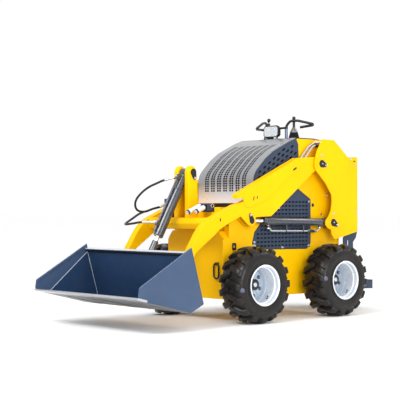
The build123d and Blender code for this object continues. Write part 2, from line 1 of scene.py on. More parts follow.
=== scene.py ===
import json
import math
import random

import bmesh
import bpy
from mathutils import Matrix, Vector, noise
from mathutils.geometry import tessellate_polygon

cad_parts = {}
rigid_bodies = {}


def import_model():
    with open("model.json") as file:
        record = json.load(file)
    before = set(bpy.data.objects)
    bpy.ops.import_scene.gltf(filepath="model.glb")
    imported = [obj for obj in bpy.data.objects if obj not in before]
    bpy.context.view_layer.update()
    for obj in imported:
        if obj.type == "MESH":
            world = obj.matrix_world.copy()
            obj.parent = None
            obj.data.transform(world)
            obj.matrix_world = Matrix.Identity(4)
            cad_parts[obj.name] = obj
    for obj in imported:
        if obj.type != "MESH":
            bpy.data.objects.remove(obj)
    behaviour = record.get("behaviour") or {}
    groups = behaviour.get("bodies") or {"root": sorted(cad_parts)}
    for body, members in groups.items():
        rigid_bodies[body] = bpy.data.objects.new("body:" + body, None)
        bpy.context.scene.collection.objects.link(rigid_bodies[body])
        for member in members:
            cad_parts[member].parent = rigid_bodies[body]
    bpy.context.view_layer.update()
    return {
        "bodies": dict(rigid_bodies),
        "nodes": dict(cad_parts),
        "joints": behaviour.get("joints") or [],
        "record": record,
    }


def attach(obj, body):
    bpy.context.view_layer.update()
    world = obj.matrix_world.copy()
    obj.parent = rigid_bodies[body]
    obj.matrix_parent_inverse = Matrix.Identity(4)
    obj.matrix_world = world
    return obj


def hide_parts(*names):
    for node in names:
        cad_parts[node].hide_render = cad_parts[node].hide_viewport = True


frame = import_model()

# ---------------------------------------------------------------------------
# Compact skid steer loader. Tables are in millimetres from the front axle:
# x forward, y to the machine's left, z up. mm() puts them into the row frame.
# ---------------------------------------------------------------------------
FRONT_AXLE_X = 0.158
WHEELBASE, TYRE_R, TYRE_Y = 793.0, 254.0, 438.0
CHASSIS_HALF, SIDE_T = 282.0, 8.0
ARM_IN, ARM_OUT, BARREL_Y = 290.0, 346.0, 318.0
TOWER_IN, TOWER_OUT = 352.0, 362.0
BUCKET_HALF = 552.0
ARM_PIVOT, LIFT_BASE, LIFT_EYE = (-740.0, 1074.0), (-860.0, 656.0), (-64.0, 676.0)
BUCKET_PIVOT, TILT_TOP, TILT_EYE = (530.0, 262.0), (222.0, 1002.0), (559.0, 412.0)


def mm(p):
    return Vector((p[0] / 1000 + FRONT_AXLE_X, p[1] / 1000, p[2] / 1000))


def srgb(r, g, b):
    return tuple((c / 255 / 12.92) if c / 255 <= 0.04045 else ((c / 255 + 0.055) / 1.055) ** 2.4 for c in (r, g, b)) + (1.0,)


# ---------------------------------------------------------------------------
# Materials
# ---------------------------------------------------------------------------
class Nodes:
    """A Principled material with its own texture nodes, on the piece's own coordinates."""

    def __init__(self, name):
        self.m = bpy.data.materials.new(name)
        self.m.use_nodes = True
        self.t = self.m.node_tree
        self.t.nodes.clear()
        self.out = self.t.nodes.new("ShaderNodeOutputMaterial")
        self.bsdf = self.t.nodes.new("ShaderNodeBsdfPrincipled")
        self.t.links.new(self.bsdf.outputs[0], self.out.inputs[0])
        self.coord = self.t.nodes.new("ShaderNodeTexCoord").outputs["Object"]

    def link(self, a, b):
        self.t.links.new(a, b)

    def put(self, socket, value):
        s = self.bsdf.inputs[socket]
        if hasattr(value, "default_value") or hasattr(value, "links"):
            self.link(value, s)
        else:
            s.default_value = value

    def stretched(self, scale, turn=(0, 0, 0)):
        n = self.t.nodes.new("ShaderNodeMapping")
        n.inputs["Scale"].default_value = scale
        n.inputs["Rotation"].default_value = turn
        self.link(self.coord, n.inputs["Vector"])
        return n.outputs[0]

    def noise(self, scale, detail=4.0, rough=0.55, vector=None, distortion=0.0):
        n = self.t.nodes.new("ShaderNodeTexNoise")
        n.inputs["Scale"].default_value = scale
        n.inputs["Detail"].default_value = detail
        n.inputs["Roughness"].default_value = rough
        n.inputs["Distortion"].default_value = distortion
        self.link(vector or self.coord, n.inputs["Vector"])
        return n.outputs["Fac"]

    def voronoi(self, scale, feature="F1", vector=None, randomness=1.0):
        n = self.t.nodes.new("ShaderNodeTexVoronoi")
        n.feature = feature
        n.inputs["Scale"].default_value = scale
        n.inputs["Randomness"].default_value = randomness
        self.link(vector or self.coord, n.inputs["Vector"])
        return n.outputs["Distance"]

    def ramp(self, fac, stops, interpolation="LINEAR"):
        n = self.t.nodes.new("ShaderNodeValToRGB")
        n.color_ramp.interpolation = interpolation
        e = n.color_ramp.elements
        while len(e) > 1:
            e.remove(e[-1])
        for k, (pos, col) in enumerate(stops):
            c = col if isinstance(col, tuple) else (col, col, col, 1.0)
            s = e[0] if k == 0 else e.new(pos)
            s.position, s.color = pos, c
        self.link(fac, n.inputs["Fac"])
        return n.outputs["Color"]

    def mix(self, fac, a, b, blend="MIX"):
        n = self.t.nodes.new("ShaderNodeMix")
        n.data_type, n.blend_type = "RGBA", blend
        for s, v in ((n.inputs[0], fac), (n.inputs[6], a), (n.inputs[7], b)):
            if isinstance(v, (float, int, tuple)):
                s.default_value = v
            else:
                self.link(v, s)
        return n.outputs[2]

    def math(self, op, a, b=None, clamp=False):
        n = self.t.nodes.new("ShaderNodeMath")
        n.operation, n.use_clamp = op, clamp
        for s, v in zip(n.inputs, (a, b)):
            if v is None:
                continue
            if isinstance(v, (float, int)):
                s.default_value = v
            else:
                self.link(v, s)
        return n.outputs[0]

    def axis(self, k):
        n = self.t.nodes.new("ShaderNodeSeparateXYZ")
        self.link(self.coord, n.inputs[0])
        return n.outputs[k]

    def bump(self, height, strength, distance, over=None):
        n = self.t.nodes.new("ShaderNodeBump")
        n.inputs["Strength"].default_value = strength
        n.inputs["Distance"].default_value = distance
        self.link(height, n.inputs["Height"])
        if over is not None:
            self.link(over, n.inputs["Normal"])
        return n.outputs[0]

    def normal(self, n):
        self.link(n, self.bsdf.inputs["Normal"])


def shade(c, k):
    return tuple(min(1.0, x * k) for x in c[:3]) + (1.0,)


def toward(c, d, k):
    return tuple(x * (1 - k) + y * k for x, y in zip(c[:3], d[:3])) + (1.0,)


DUST = srgb(150, 138, 120)


def painted(name, base, rough=0.32, coat=0.35, dusty=0.25, chips=0.5, under=(0.05, 0.05, 0.055, 1.0), metallic=0.0, grain=1.0, spread=0.06, gloss=0.30, fade=None):
    """Sprayed paint: slow drift of tone, orange peel, dust that thickens downwards, small chips."""
    n = Nodes(name)
    drift = n.noise(2.6, 5, 0.55)
    tone = n.ramp(drift, [(0.30, shade(base, 1 - spread)), (0.72, shade(base, 1 + spread))])
    speck = n.noise(240, 2, 0.6)
    tone = n.mix(n.math("MULTIPLY", n.ramp(speck, [(0.35, 0.0), (0.75, 1.0)]), 0.10), tone, shade(base, 0.80))
    low = n.math("SUBTRACT", 1.0, n.math("MULTIPLY", n.axis(2), 1.5), clamp=True)
    cloud = n.ramp(n.noise(9, 6, 0.62, distortion=0.4), [(0.42, 0.0), (0.74, 1.0)])
    dust = n.math("MULTIPLY", n.math("MULTIPLY", low, cloud), dusty, clamp=True)
    tone = n.mix(dust, tone, toward(base, DUST, 0.65))
    streak = n.ramp(n.noise(14, 4, 0.6, vector=n.stretched((1, 1, 0.12))), [(0.55, 0.0), (0.80, 1.0)])
    tone = n.mix(n.math("MULTIPLY", streak, 0.10 * (1 if dusty else 0.4)), tone, shade(base, 0.70))
    if fade:
        # the tone turns to another one below a height
        z0, z1, other = fade
        k = n.math("MULTIPLY", n.math("SUBTRACT", z1, n.axis(2)), 1.0 / (z1 - z0), clamp=True)
        tone = n.mix(k, tone, other)
    chip = n.math("MULTIPLY", n.ramp(n.voronoi(52), [(0.045, 1.0), (0.062, 0.0)]), n.ramp(n.noise(7, 3, 0.6), [(0.60, 0.0), (0.68, chips)]))
    tone = n.mix(chip, tone, under)
    n.put("Base Color", tone)
    n.put("Metallic", metallic)
    r = n.ramp(n.noise(30, 5, 0.6), [(0.30, rough * 0.82), (0.75, min(1.0, rough * 1.25))])
    r = n.mix(dust, r, (0.75, 0.75, 0.75, 1.0))
    n.put("Roughness", r)
    n.put("Coat Weight", coat)
    n.put("Coat Roughness", 0.12)
    n.put("Specular IOR Level", gloss)
    peel = n.bump(n.noise(420, 2, 0.5), 0.10 * grain, 0.0008)
    n.normal(n.bump(n.noise(5, 3, 0.5), 0.10, 0.004, over=peel))
    return n.m


def brushed(name, base, rough=0.30, metallic=1.0, stretch=(1, 1, 14), rust=0.0, turn=(0, 0, 0)):
    """Bare metal: fine drawn lines, smudges, a little tarnish."""
    n = Nodes(name)
    lines = n.noise(90, 6, 0.7, vector=n.stretched(stretch, turn))
    smudge = n.noise(11, 5, 0.6)
    tone = n.ramp(lines, [(0.30, shade(base, 0.78)), (0.70, shade(base, 1.10))])
    tone = n.mix(n.math("MULTIPLY", n.ramp(smudge, [(0.50, 0.0), (0.80, 1.0)]), 0.35), tone, shade(base, 0.6))
    if rust:
        spots = n.ramp(n.noise(38, 6, 0.65), [(0.60, 0.0), (0.72, rust)])
        tone = n.mix(spots, tone, srgb(112, 70, 42))
    n.put("Base Color", tone)
    n.put("Metallic", metallic)
    n.put("Roughness", n.ramp(n.noise(60, 5, 0.65, vector=n.stretched(stretch, turn)), [(0.25, rough * 0.7), (0.80, min(1.0, rough * 1.45))]))
    n.normal(n.bump(lines, 0.10, 0.0004))
    return n.m


def scraped(name, bare, paint):
    n = Nodes(name)
    drag = n.noise(26, 6, 0.62, vector=n.stretched((0.12, 1, 1)))
    broad = n.noise(3.2, 4, 0.55, distortion=0.5)
    left = n.math("MULTIPLY", n.ramp(drag, [(0.50, 0.0), (0.66, 1.0)]), n.ramp(broad, [(0.48, 0.0), (0.62, 0.85)]))
    tone = n.mix(n.ramp(n.noise(90, 3, 0.6, vector=n.stretched((0.06, 1, 1))), [(0.35, 0.0), (0.75, 0.5)]), bare, shade(bare, 0.55))
    n.put("Base Color", n.mix(left, tone, paint))
    n.put("Metallic", 0.35)
    n.put("Roughness", n.ramp(drag, [(0.3, 0.34), (0.7, 0.60)]))
    n.normal(n.bump(drag, 0.16, 0.0006))
    return n.m


def rubbery(name, base, rough=0.72, dust=0.30, ribs=0.0, grain=0.35):
    n = Nodes(name)
    cloud = n.noise(16, 6, 0.62)
    fine = n.noise(180, 4, 0.65)
    tone = n.ramp(cloud, [(0.28, shade(base, 0.72)), (0.74, shade(base, 1.35))])
    tone = n.mix(n.math("MULTIPLY", n.ramp(n.noise(7, 7, 0.66, distortion=0.6), [(0.46, 0.0), (0.80, 1.0)]), dust), tone, srgb(122, 112, 100))
    tone = n.mix(n.math("MULTIPLY", n.ramp(fine, [(0.50, 0.0), (0.78, 1.0)]), 0.18), tone, shade(base, 2.2))
    n.put("Base Color", tone)
    n.put("Roughness", n.ramp(cloud, [(0.25, rough * 0.80), (0.80, min(1.0, rough * 1.15))]))
    n.put("Specular IOR Level", 0.30)
    b = n.bump(fine, grain, 0.0006)
    n.normal(n.bump(n.noise(46, 5, 0.6), 0.30, 0.0012, over=b))
    return n.m


def plastic(name, base, rough=0.45):
    n = Nodes(name)
    n.put("Base Color", n.ramp(n.noise(24, 4, 0.6), [(0.3, shade(base, 0.82)), (0.75, shade(base, 1.25))]))
    n.put("Roughness", n.ramp(n.noise(70, 4, 0.6), [(0.3, rough * 0.8), (0.8, min(1.0, rough * 1.25))]))
    n.normal(n.bump(n.voronoi(900, vector=None), 0.20, 0.0004))
    return n.m


def lens_glass(name):
    n = Nodes(name)
    flutes = n.t.nodes.new("ShaderNodeTexWave")
    flutes.inputs["Scale"].default_value = 46
    flutes.bands_direction = "Y"
    n.link(n.coord, flutes.inputs["Vector"])
    n.put("Base Color", n.ramp(n.noise(22, 3, 0.5), [(0.3, srgb(226, 232, 238)), (0.7, srgb(250, 252, 255))]))
    n.put("Roughness", n.ramp(n.noise(60, 3, 0.5), [(0.3, 0.05), (0.8, 0.14)]))
    n.put("Transmission Weight", 0.55)
    n.put("IOR", 1.49)
    n.normal(n.bump(flutes.outputs["Fac"], 0.35, 0.0012))
    return n.m


YELLOW = (0.9, 0.4961, 0.0008, 1)
SLATE = (0.050, 0.082, 0.150, 1.0)
yellow = painted("yellow_paint", YELLOW, rough=0.42, coat=0.02, dusty=0.04, chips=0.30, gloss=0.07)
# the yellow darkened for inner parts: painted shade, with more dust
yellow_shaded_dusty = painted("yellow_painted_shade_dusty", shade(YELLOW, 0.86), rough=0.50, coat=0.0, dusty=0.20, chips=0.3, gloss=0.12)
slate = painted("slate_paint", SLATE, rough=0.42, coat=0.05, dusty=0.12, chips=0.6, under=(0.20, 0.20, 0.21, 1), spread=0.10, gloss=0.22)
panel_paint = painted("panel_paint", (0.030, 0.047, 0.084, 1), rough=0.42, coat=0.05, dusty=0.10, chips=0.2, spread=0.09, gloss=0.22)
hood_paint = painted("hood_paint", (0.235, 0.24, 0.255, 1), rough=0.32, coat=0.35, dusty=0.0, chips=0.2, metallic=0.25, spread=0.06, gloss=0.5, fade=(0.80, 0.93, (0.80, 0.82, 0.87, 1)))
lip_paint = painted("lip_paint", (0.74, 0.74, 0.75, 1), rough=0.40, coat=0.2, dusty=0.0, chips=0.2, spread=0.04, gloss=0.4)
bucket_paint = painted("bucket_paint", (0.044, 0.078, 0.150, 1), rough=0.42, coat=0.06, dusty=0.10, chips=0.7, under=(0.30, 0.31, 0.33, 1), spread=0.12, gloss=0.24)
# the bucket paint darkened for the inside: painted shade
bucket_inside_shaded = painted("bucket_inside_shaded", (0.018, 0.044, 0.104, 1), rough=0.48, coat=0.0, dusty=0.06, chips=0.6, under=(0.18, 0.19, 0.21, 1), spread=0.14, gloss=0.14)
worn_edge = brushed("worn_edge", (0.62, 0.66, 0.74, 1), rough=0.46, metallic=0.35, stretch=(12, 1, 1), rust=0.06)
scraped_floor = scraped("scraped_floor", (0.20, 0.212, 0.235, 1), (0.034, 0.056, 0.102, 1))
cylinder_paint = painted("cylinder_paint", (0.024, 0.030, 0.044, 1), rough=0.24, coat=0.8, dusty=0.0, chips=0.3, spread=0.10, gloss=0.5)
black_paint = painted("black_paint", (0.008, 0.008, 0.010, 1), rough=0.36, coat=0.25, dusty=0.04, chips=0.3, under=(0.25, 0.25, 0.26, 1), spread=0.10, gloss=0.25)
rim_paint = painted("rim_paint", (0.74, 0.78, 0.83, 1), rough=0.30, coat=0.4, dusty=0.06, chips=0.25, metallic=0.30, spread=0.05)
cast = painted("cast_iron", (0.045, 0.045, 0.050, 1), rough=0.55, coat=0.05, dusty=0.5, chips=0.2, grain=4.0, spread=0.15)
tube_steel = brushed("tube_steel", (0.52, 0.54, 0.57, 1), rough=0.34, metallic=0.75, stretch=(3, 3, 3), rust=0.03)
nut_blue = brushed("nut_blue", (0.16, 0.20, 0.30, 1), rough=0.34, metallic=0.8, stretch=(3, 3, 3), rust=0.0)
disc_paint = painted("disc_paint", (0.40, 0.47, 0.56, 1), rough=0.34, coat=0.3, dusty=0.06, chips=0.2, metallic=0.35, spread=0.08)
dull_steel = brushed("dull_steel", (0.26, 0.26, 0.27, 1), rough=0.36, metallic=0.85, stretch=(3, 3, 3), rust=0.02)
coupler_plate_finish = brushed("coupler_plating", (0.84, 0.83, 0.82, 1), rough=0.32, metallic=0.35, stretch=(3, 3, 3), rust=0.02)
edge_steel = brushed("edge_steel", (0.56, 0.57, 0.59, 1), rough=0.34, stretch=(16, 1, 1), rust=0.25)
steel = brushed("steel", (0.50, 0.51, 0.53, 1), rough=0.36, stretch=(1, 1, 8))
zinc = brushed("zinc", (0.70, 0.71, 0.73, 1), rough=0.28, stretch=(3, 3, 3))
chrome = brushed("chrome", (0.86, 0.87, 0.89, 1), rough=0.07, stretch=(1, 9, 1))
pin_steel = brushed("pin_steel", (0.40, 0.40, 0.42, 1), rough=0.38, stretch=(1, 12, 1))
tyre_rubber = rubbery("tyre_rubber", (0.0088, 0.0076, 0.0074, 1), rough=0.33, dust=0.03)
hose_rubber = rubbery("hose_rubber", (0.010, 0.010, 0.011, 1), rough=0.42, dust=0.06, grain=0.5)
boot_rubber = rubbery("boot_rubber", (0.014, 0.014, 0.015, 1), rough=0.55, dust=0.08)
black_plastic = plastic("black_plastic", (0.013, 0.013, 0.015, 1), rough=0.42)
lens = lens_glass("lens")
reflector = brushed("reflector", (0.97, 0.95, 0.91, 1), rough=0.34, metallic=0.10, stretch=(2, 2, 2))
dot_label = painted("dot_label", (0.075, 0.085, 0.150, 1), rough=0.4, coat=0.3, dusty=0.2, chips=0.2, spread=0.25)
# near-black sheet behind perforations and slots: painted shade
shade_screen_black = painted("painted_shade_screen", (0.012, 0.015, 0.022, 1), rough=0.6, coat=0.0, dusty=0.0, chips=0.0)


# ---------------------------------------------------------------------------
# Shells. Each maker returns a closed bmesh in millimetres.
# ---------------------------------------------------------------------------
def area2(loop):
    return sum(a[0] * b[1] - b[0] * a[1] for a, b in zip(loop, loop[1:] + loop[:1]))


def rounded(points, r, n=3, only=None):
    """The outline with its corners rounded off."""
    out = []
    count = len(points)
    for k, p in enumerate(points):
        if only is not None and k not in only:
            out.append(p)
            continue
        a, b = Vector(points[k - 1]), Vector(points[(k + 1) % count])
        p = Vector(p)
        u, v = (a - p), (b - p)
        lu, lv = u.length, v.length
        if lu < 1e-6 or lv < 1e-6:
            out.append(tuple(p))
            continue
        u, v = u / lu, v / lv
        ang = u.angle(v)
        if ang > math.radians(172):
            out.append(tuple(p))
            continue
        cut = min(r / math.tan(ang / 2), lu * 0.45, lv * 0.45)
        rr = cut * math.tan(ang / 2)
        mid = p + (u + v).normalized() * (rr / math.sin(ang / 2))
        s, e = p + u * cut - mid, p + v * cut - mid
        sweep = s.angle_signed(e) if hasattr(s, "angle_signed") else 0
        a0 = math.atan2(s.y, s.x)
        a1 = math.atan2(e.y, e.x)
        d = (a1 - a0 + math.pi) % (2 * math.pi) - math.pi
        for i in range(n + 1):
            t = a0 + d * i / n
            out.append((mid.x + rr * math.cos(t), mid.y + rr * math.sin(t)))
    return out


def inset(loop, d):
    """The loop moved to its left by d (into a counter-clockwise outline)."""
    out = []
    n = len(loop)
    for k in range(n):
        p = Vector(loop[k])
        a, b = p - Vector(loop[k - 1]), Vector(loop[(k + 1) % n]) - p
        if a.length < 1e-7 or b.length < 1e-7:
            out.append(tuple(p))
            continue
        a.normalize(), b.normalize()
        na, nb = Vector((-a.y, a.x)), Vector((-b.y, b.x))
        m = na + nb
        if m.length < 0.2:
            m = na
        m.normalize()
        c = max(0.35, m.dot(na))
        q = p + m * (d / c)
        out.append((q.x, q.y))
    return out


PLANES = {
    "side": lambda u, v, w: (u, w, v),      # u along x, v up, w across the machine
    "front": lambda u, v, w: (w, u, v),     # u across, v up, w along x
    "top": lambda u, v, w: (u, v, w),       # u along x, v across, w up
}


def flat(outline, w0, w1, plane="side", bevel=1.2, holes=(), frame=None):
    """A plate with chamfered rims. frame=(origin, eu, ev, ew) puts it on any plane."""
    w0, w1 = min(w0, w1), max(w0, w1)
    b = min(bevel, (w1 - w0) * 0.35)
    loops = []
    for k, loop in enumerate([outline] + list(holes)):
        loop = [tuple(p) for p in loop]
        if (area2(loop) > 0) != (k == 0):
            loop = loop[::-1]
        loops.append(loop)
    if frame is None:
        place = PLANES[plane]
    else:
        o, eu, ev, ew = (Vector(f) for f in frame)
        place = lambda u, v, w: o + eu * u + ev * v + ew * w
    bm = bmesh.new()
    rims = {}
    for level, (w, d) in enumerate(((w0, b), (w0 + b, 0.0), (w1 - b, 0.0), (w1, b))):
        rims[level] = [[bm.verts.new(place(p[0], p[1], w)) for p in (inset(loop, d) if d else loop)] for loop in loops]
    for level in range(3):
        for low, high in zip(rims[level], rims[level + 1]):
            for i in range(len(low)):
                j = (i + 1) % len(low)
                bm.faces.new((low[i], low[j], high[j], high[i]))
    for level in (0, 3):
        flats = [[Vector((p[0], p[1], 0)) for p in inset(loop, b)] for loop in loops]
        verts = [v for loop in rims[level] for v in loop]
        if len(loops) == 1 and len(loops[0]) <= 4:
            bm.faces.new(rims[level][0])
        else:
            for tri in tessellate_polygon(flats):
                if len(set(tri)) == 3:
                    try:
                        bm.faces.new([verts[i] for i in tri])
                    except ValueError:
                        pass
    bmesh.ops.recalc_face_normals(bm, faces=bm.faces[:])
    return bm


def slab(x0, x1, y0, y1, z0, z1, bevel=1.2, holes=(), r=0.0):
    """A box-shaped plate or bar with chamfered edges, cut from its broadest side."""
    dx, dy, dz = abs(x1 - x0), abs(y1 - y0), abs(z1 - z0)
    if dy <= dx and dy <= dz:
        loop, w, plane = [(x0, z0), (x1, z0), (x1, z1), (x0, z1)], (y0, y1), "side"
    elif dx <= dz:
        loop, w, plane = [(y0, z0), (y1, z0), (y1, z1), (y0, z1)], (x0, x1), "front"
    else:
        loop, w, plane = [(x0, y0), (x1, y0), (x1, y1), (x0, y1)], (z0, z1), "top"
    if r:
        loop = rounded(loop, r)
    return flat(loop, w[0], w[1], plane, bevel, holes)


def circle(c, r, n=32, start=0.0):
    return [(c[0] + r * math.cos(start + 2 * math.pi * i / n), c[1] + r * math.sin(start + 2 * math.pi * i / n)) for i in range(n)]


def slot_loop(c, length, width, angle=0.0, n=4):
    """A slot's outline: straight sides and round ends."""
    h, r = max(0.0, length / 2 - width / 2), width / 2
    pts = []
    for s, base in ((1, -math.pi / 2), (-1, math.pi / 2)):
        for i in range(n + 1):
            t = base + math.pi * i / n
            pts.append((s * h + r * math.cos(t), r * math.sin(t)))
    ca, sa = math.cos(angle), math.sin(angle)
    return [(c[0] + x * ca - y * sa, c[1] + x * sa + y * ca) for x, y in pts]


def rect_loop(c, a, b, r=3.0, angle=0.0, n=3):
    loop = rounded([(-a / 2, -b / 2), (a / 2, -b / 2), (a / 2, b / 2), (-a / 2, b / 2)], r, n)
    ca, sa = math.cos(angle), math.sin(angle)
    return [(c[0] + x * ca - y * sa, c[1] + x * sa + y * ca) for x, y in loop]


def square_to(d):
    """Two directions square to d."""
    d = Vector(d).normalized()
    a = Vector((0, 0, 1)) if abs(d.z) < 0.9 else Vector((1, 0, 0))
    u = a.cross(d).normalized()
    return u, d.cross(u)


def lathe(profile, origin, axis, segs=40, ring=False, phase=0.0):
    """Turned shape: profile is (radius, distance along the axis). Closed by its points on the axis, or by ring."""
    o, d = Vector(origin), Vector(axis).normalized()
    u, v = square_to(d)
    bm = bmesh.new()
    rows = []
    for r, t in profile:
        if r < 1e-6:
            rows.append([bm.verts.new(o + d * t)])
        else:
            rows.append([bm.verts.new(o + d * t + (u * math.cos(phase + 2 * math.pi * i / segs) + v * math.sin(phase + 2 * math.pi * i / segs)) * r) for i in range(segs)])
    pairs = list(zip(rows, rows[1:]))
    if ring:
        pairs.append((rows[-1], rows[0]))
    for a, b in pairs:
        for i in range(segs):
            j = (i + 1) % segs
            if len(a) == 1 and len(b) == 1:
                continue
            if len(a) == 1:
                bm.faces.new((a[0], b[i], b[j]))
            elif len(b) == 1:
                bm.faces.new((a[i], b[0], a[j]))
            else:
                bm.faces.new((a[i], b[i], b[j], a[j]))
    if not ring:
        for row in (rows[0], rows[-1]):
            if len(row) > 1:
                bm.faces.new(row)
    bmesh.ops.recalc_face_normals(bm, faces=bm.faces[:])
    return bm


def drum(r, t0, t1, origin, axis, segs=40, chamfer=1.2, bore=0.0):
    """A turned disc or bar with broken edges."""
    c = min(chamfer, abs(t1 - t0) * 0.3, r * 0.3)
    if bore:
        return lathe([(r - c, t0), (r, t0 + c), (r, t1 - c), (r - c, t1), (bore + c, t1), (bore, t1 - c), (bore, t0 + c), (bore + c, t0)], origin, axis, segs, ring=True)
    return lathe([(0, t0), (r - c, t0), (r, t0 + c), (r, t1 - c), (r - c, t1), (0, t1)], origin, axis, segs)


def bend(points, radius, n=6):
    """Straight runs joined by arcs, as points."""
    pts = [Vector(p) for p in points]
    out = [pts[0]]
    for a, b, c in zip(pts, pts[1:], pts[2:]):
        u, v = (a - b), (c - b)
        lu, lv = u.length, v.length
        u, v = u / lu, v / lv
        ang = u.angle(v)
        if ang > math.radians(176):
            out.append(b)
            continue
        cut = min(radius / math.tan(ang / 2), lu * 0.45, lv * 0.45)
        r = cut * math.tan(ang / 2)
        mid = b + (u + v).normalized() * (r / math.sin(ang / 2))
        s, e = b + u * cut - mid, b + v * cut - mid
        total = s.angle(e)
        w = s.cross(e).normalized()
        for i in range(n + 1):
            out.append(mid + Matrix.Rotation(total * i / n, 3, w) @ s)
    out.append(pts[-1])
    return out


def pipe(points, r, segs=12, radii=None):
    """A round bar along points, with closed ends."""
    pts = [Vector(p) for p in points]
    bm = bmesh.new()
    t = (pts[1] - pts[0]).normalized()
    u, _ = square_to(t)
    rows = []
    for k, p in enumerate(pts):
        d = (pts[min(k + 1, len(pts) - 1)] - pts[max(k - 1, 0)]).normalized()
        u = (u - d * u.dot(d)).normalized()
        v = d.cross(u)
        rr = radii[k] if radii else r
        rows.append([bm.verts.new(p + (u * math.cos(2 * math.pi * i / segs) + v * math.sin(2 * math.pi * i / segs)) * rr) for i in range(segs)])
    for a, b in zip(rows, rows[1:]):
        for i in range(segs):
            j = (i + 1) % segs
            bm.faces.new((a[i], a[j], b[j], b[i]))
    bm.faces.new(rows[0][::-1])
    bm.faces.new(rows[-1])
    bmesh.ops.recalc_face_normals(bm, faces=bm.faces[:])
    return bm


def closed_pipe(points, r, segs=14):
    """A ring of round bar along a flat loop of points that all share one x."""
    bm = bmesh.new()
    pts = [Vector(q) for q in points]
    n = len(pts)
    rings = []
    for k in range(n):
        t = (pts[(k + 1) % n] - pts[k - 1]).normalized()
        u = Vector((1, 0, 0))
        v = t.cross(u).normalized()
        rings.append([bm.verts.new(pts[k] + (u * math.cos(2 * math.pi * a / segs) + v * math.sin(2 * math.pi * a / segs)) * r) for a in range(segs)])
    for k in range(n):
        a, b = rings[k], rings[(k + 1) % n]
        for m in range(segs):
            bm.faces.new((a[m], a[(m + 1) % segs], b[(m + 1) % segs], b[m]))
    bmesh.ops.recalc_face_normals(bm, faces=bm.faces[:])
    return bm


def hexagon(af, t0, t1, origin, axis, phase=0.0):
    """A hexagon nut or bolt head, its corners turned off."""
    r = af / 2 / math.cos(math.pi / 6)
    return lathe([(0, t0), (r * 0.93, t0), (r, t0 + af * 0.05), (r, t1 - af * 0.08), (r * 0.86, t1), (0, t1)], origin, axis, 6, phase=phase)


def cad_shell(node, bevel=0.8, angle=25):
    """The CAD node's own shape with its sharp edges broken."""
    bm = bmesh.new()
    bm.from_mesh(frame["nodes"][node].data)
    bmesh.ops.transform(bm, matrix=Matrix.Diagonal((1000, 1000, 1000, 1)) @ Matrix.Translation((-FRONT_AXLE_X, 0, 0)), verts=bm.verts)
    bmesh.ops.remove_doubles(bm, verts=bm.verts, dist=0.004)
    bmesh.ops.dissolve_limit(bm, angle_limit=math.radians(0.6), verts=bm.verts, edges=bm.edges)
    if bevel:
        sharp = [e for e in bm.edges if len(e.link_faces) == 2 and e.calc_face_angle(0) > math.radians(angle) and e.calc_length() > 3 * bevel]
        bmesh.ops.bevel(bm, geom=sharp, offset=bevel, segments=1, affect="EDGES", profile=0.5, clamp_overlap=True)
    bmesh.ops.recalc_face_normals(bm, faces=bm.faces[:])
    return bm


class Piece:
    """One shown piece: closed shells joined into one mesh, each shell with its material."""

    def __init__(self, name):
        self.name, self.bm, self.mats = name, bmesh.new(), []

    def add(self, bm, mat, matrix=None):
        if mat not in self.mats:
            self.mats.append(mat)
        i = self.mats.index(mat)
        if matrix is not None:
            bmesh.ops.transform(bm, matrix=matrix, verts=bm.verts)
        me = bpy.data.meshes.new("shell")
        bm.to_mesh(me)
        bm.free()
        n = len(self.bm.faces)
        self.bm.from_mesh(me)
        self.bm.faces.ensure_lookup_table()
        for f in self.bm.faces[n:]:
            f.material_index = i
        bpy.data.meshes.remove(me)
        return self

    def bolt(self, at, axis, af=19.0, mat=None, washer=True, head=None):
        """A hex bolt head on its washer, seated on the point."""
        mat = mat or zinc
        head = head or af * 0.5
        if washer:
            self.add(drum(af * 0.72, -0.5, af * 0.13, at, axis, 24, 0.6), mat)
        self.add(hexagon(af, 0.0, af * 0.13 + head, at, axis, phase=random.random()), mat)
        self.add(drum(af * 0.26, af * 0.1, af * 0.13 + head + af * 0.16, at, axis, 12, 0.8), mat)
        return self

    def button(self, at, axis, r=8.0, mat=None):
        """A low domed screw head with a hexagon socket."""
        self.add(lathe([(r * 0.42, -1.0), (r, -1.0), (r, 0.5), (r * 0.86, 2.0), (r * 0.60, 2.9), (r * 0.42, 3.0)], at, axis, 24, ring=True), mat or zinc)
        self.add(drum(r * 0.44, -0.8, 1.0, at, axis, 6, 0.2), black_plastic)
        return self

    def done(self, body, replaces=(), angle=22):
        self.bm.verts.ensure_lookup_table()
        m = Matrix.Translation((FRONT_AXLE_X, 0, 0)) @ Matrix.Diagonal((0.001, 0.001, 0.001, 1))
        bmesh.ops.transform(self.bm, matrix=m, verts=self.bm.verts)
        me = bpy.data.meshes.new(self.name)
        self.bm.to_mesh(me)
        self.bm.free()
        for mat in self.mats:
            me.materials.append(mat)
        me.shade_smooth()
        me.set_sharp_from_angle(angle=math.radians(angle))
        ob = bpy.data.objects.new(self.name, me)
        bpy.context.scene.collection.objects.link(ob)
        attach(ob, body)
        if replaces:
            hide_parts(*replaces)
        return ob


def mirrored(loop):
    return [(-a, b) for a, b in loop]


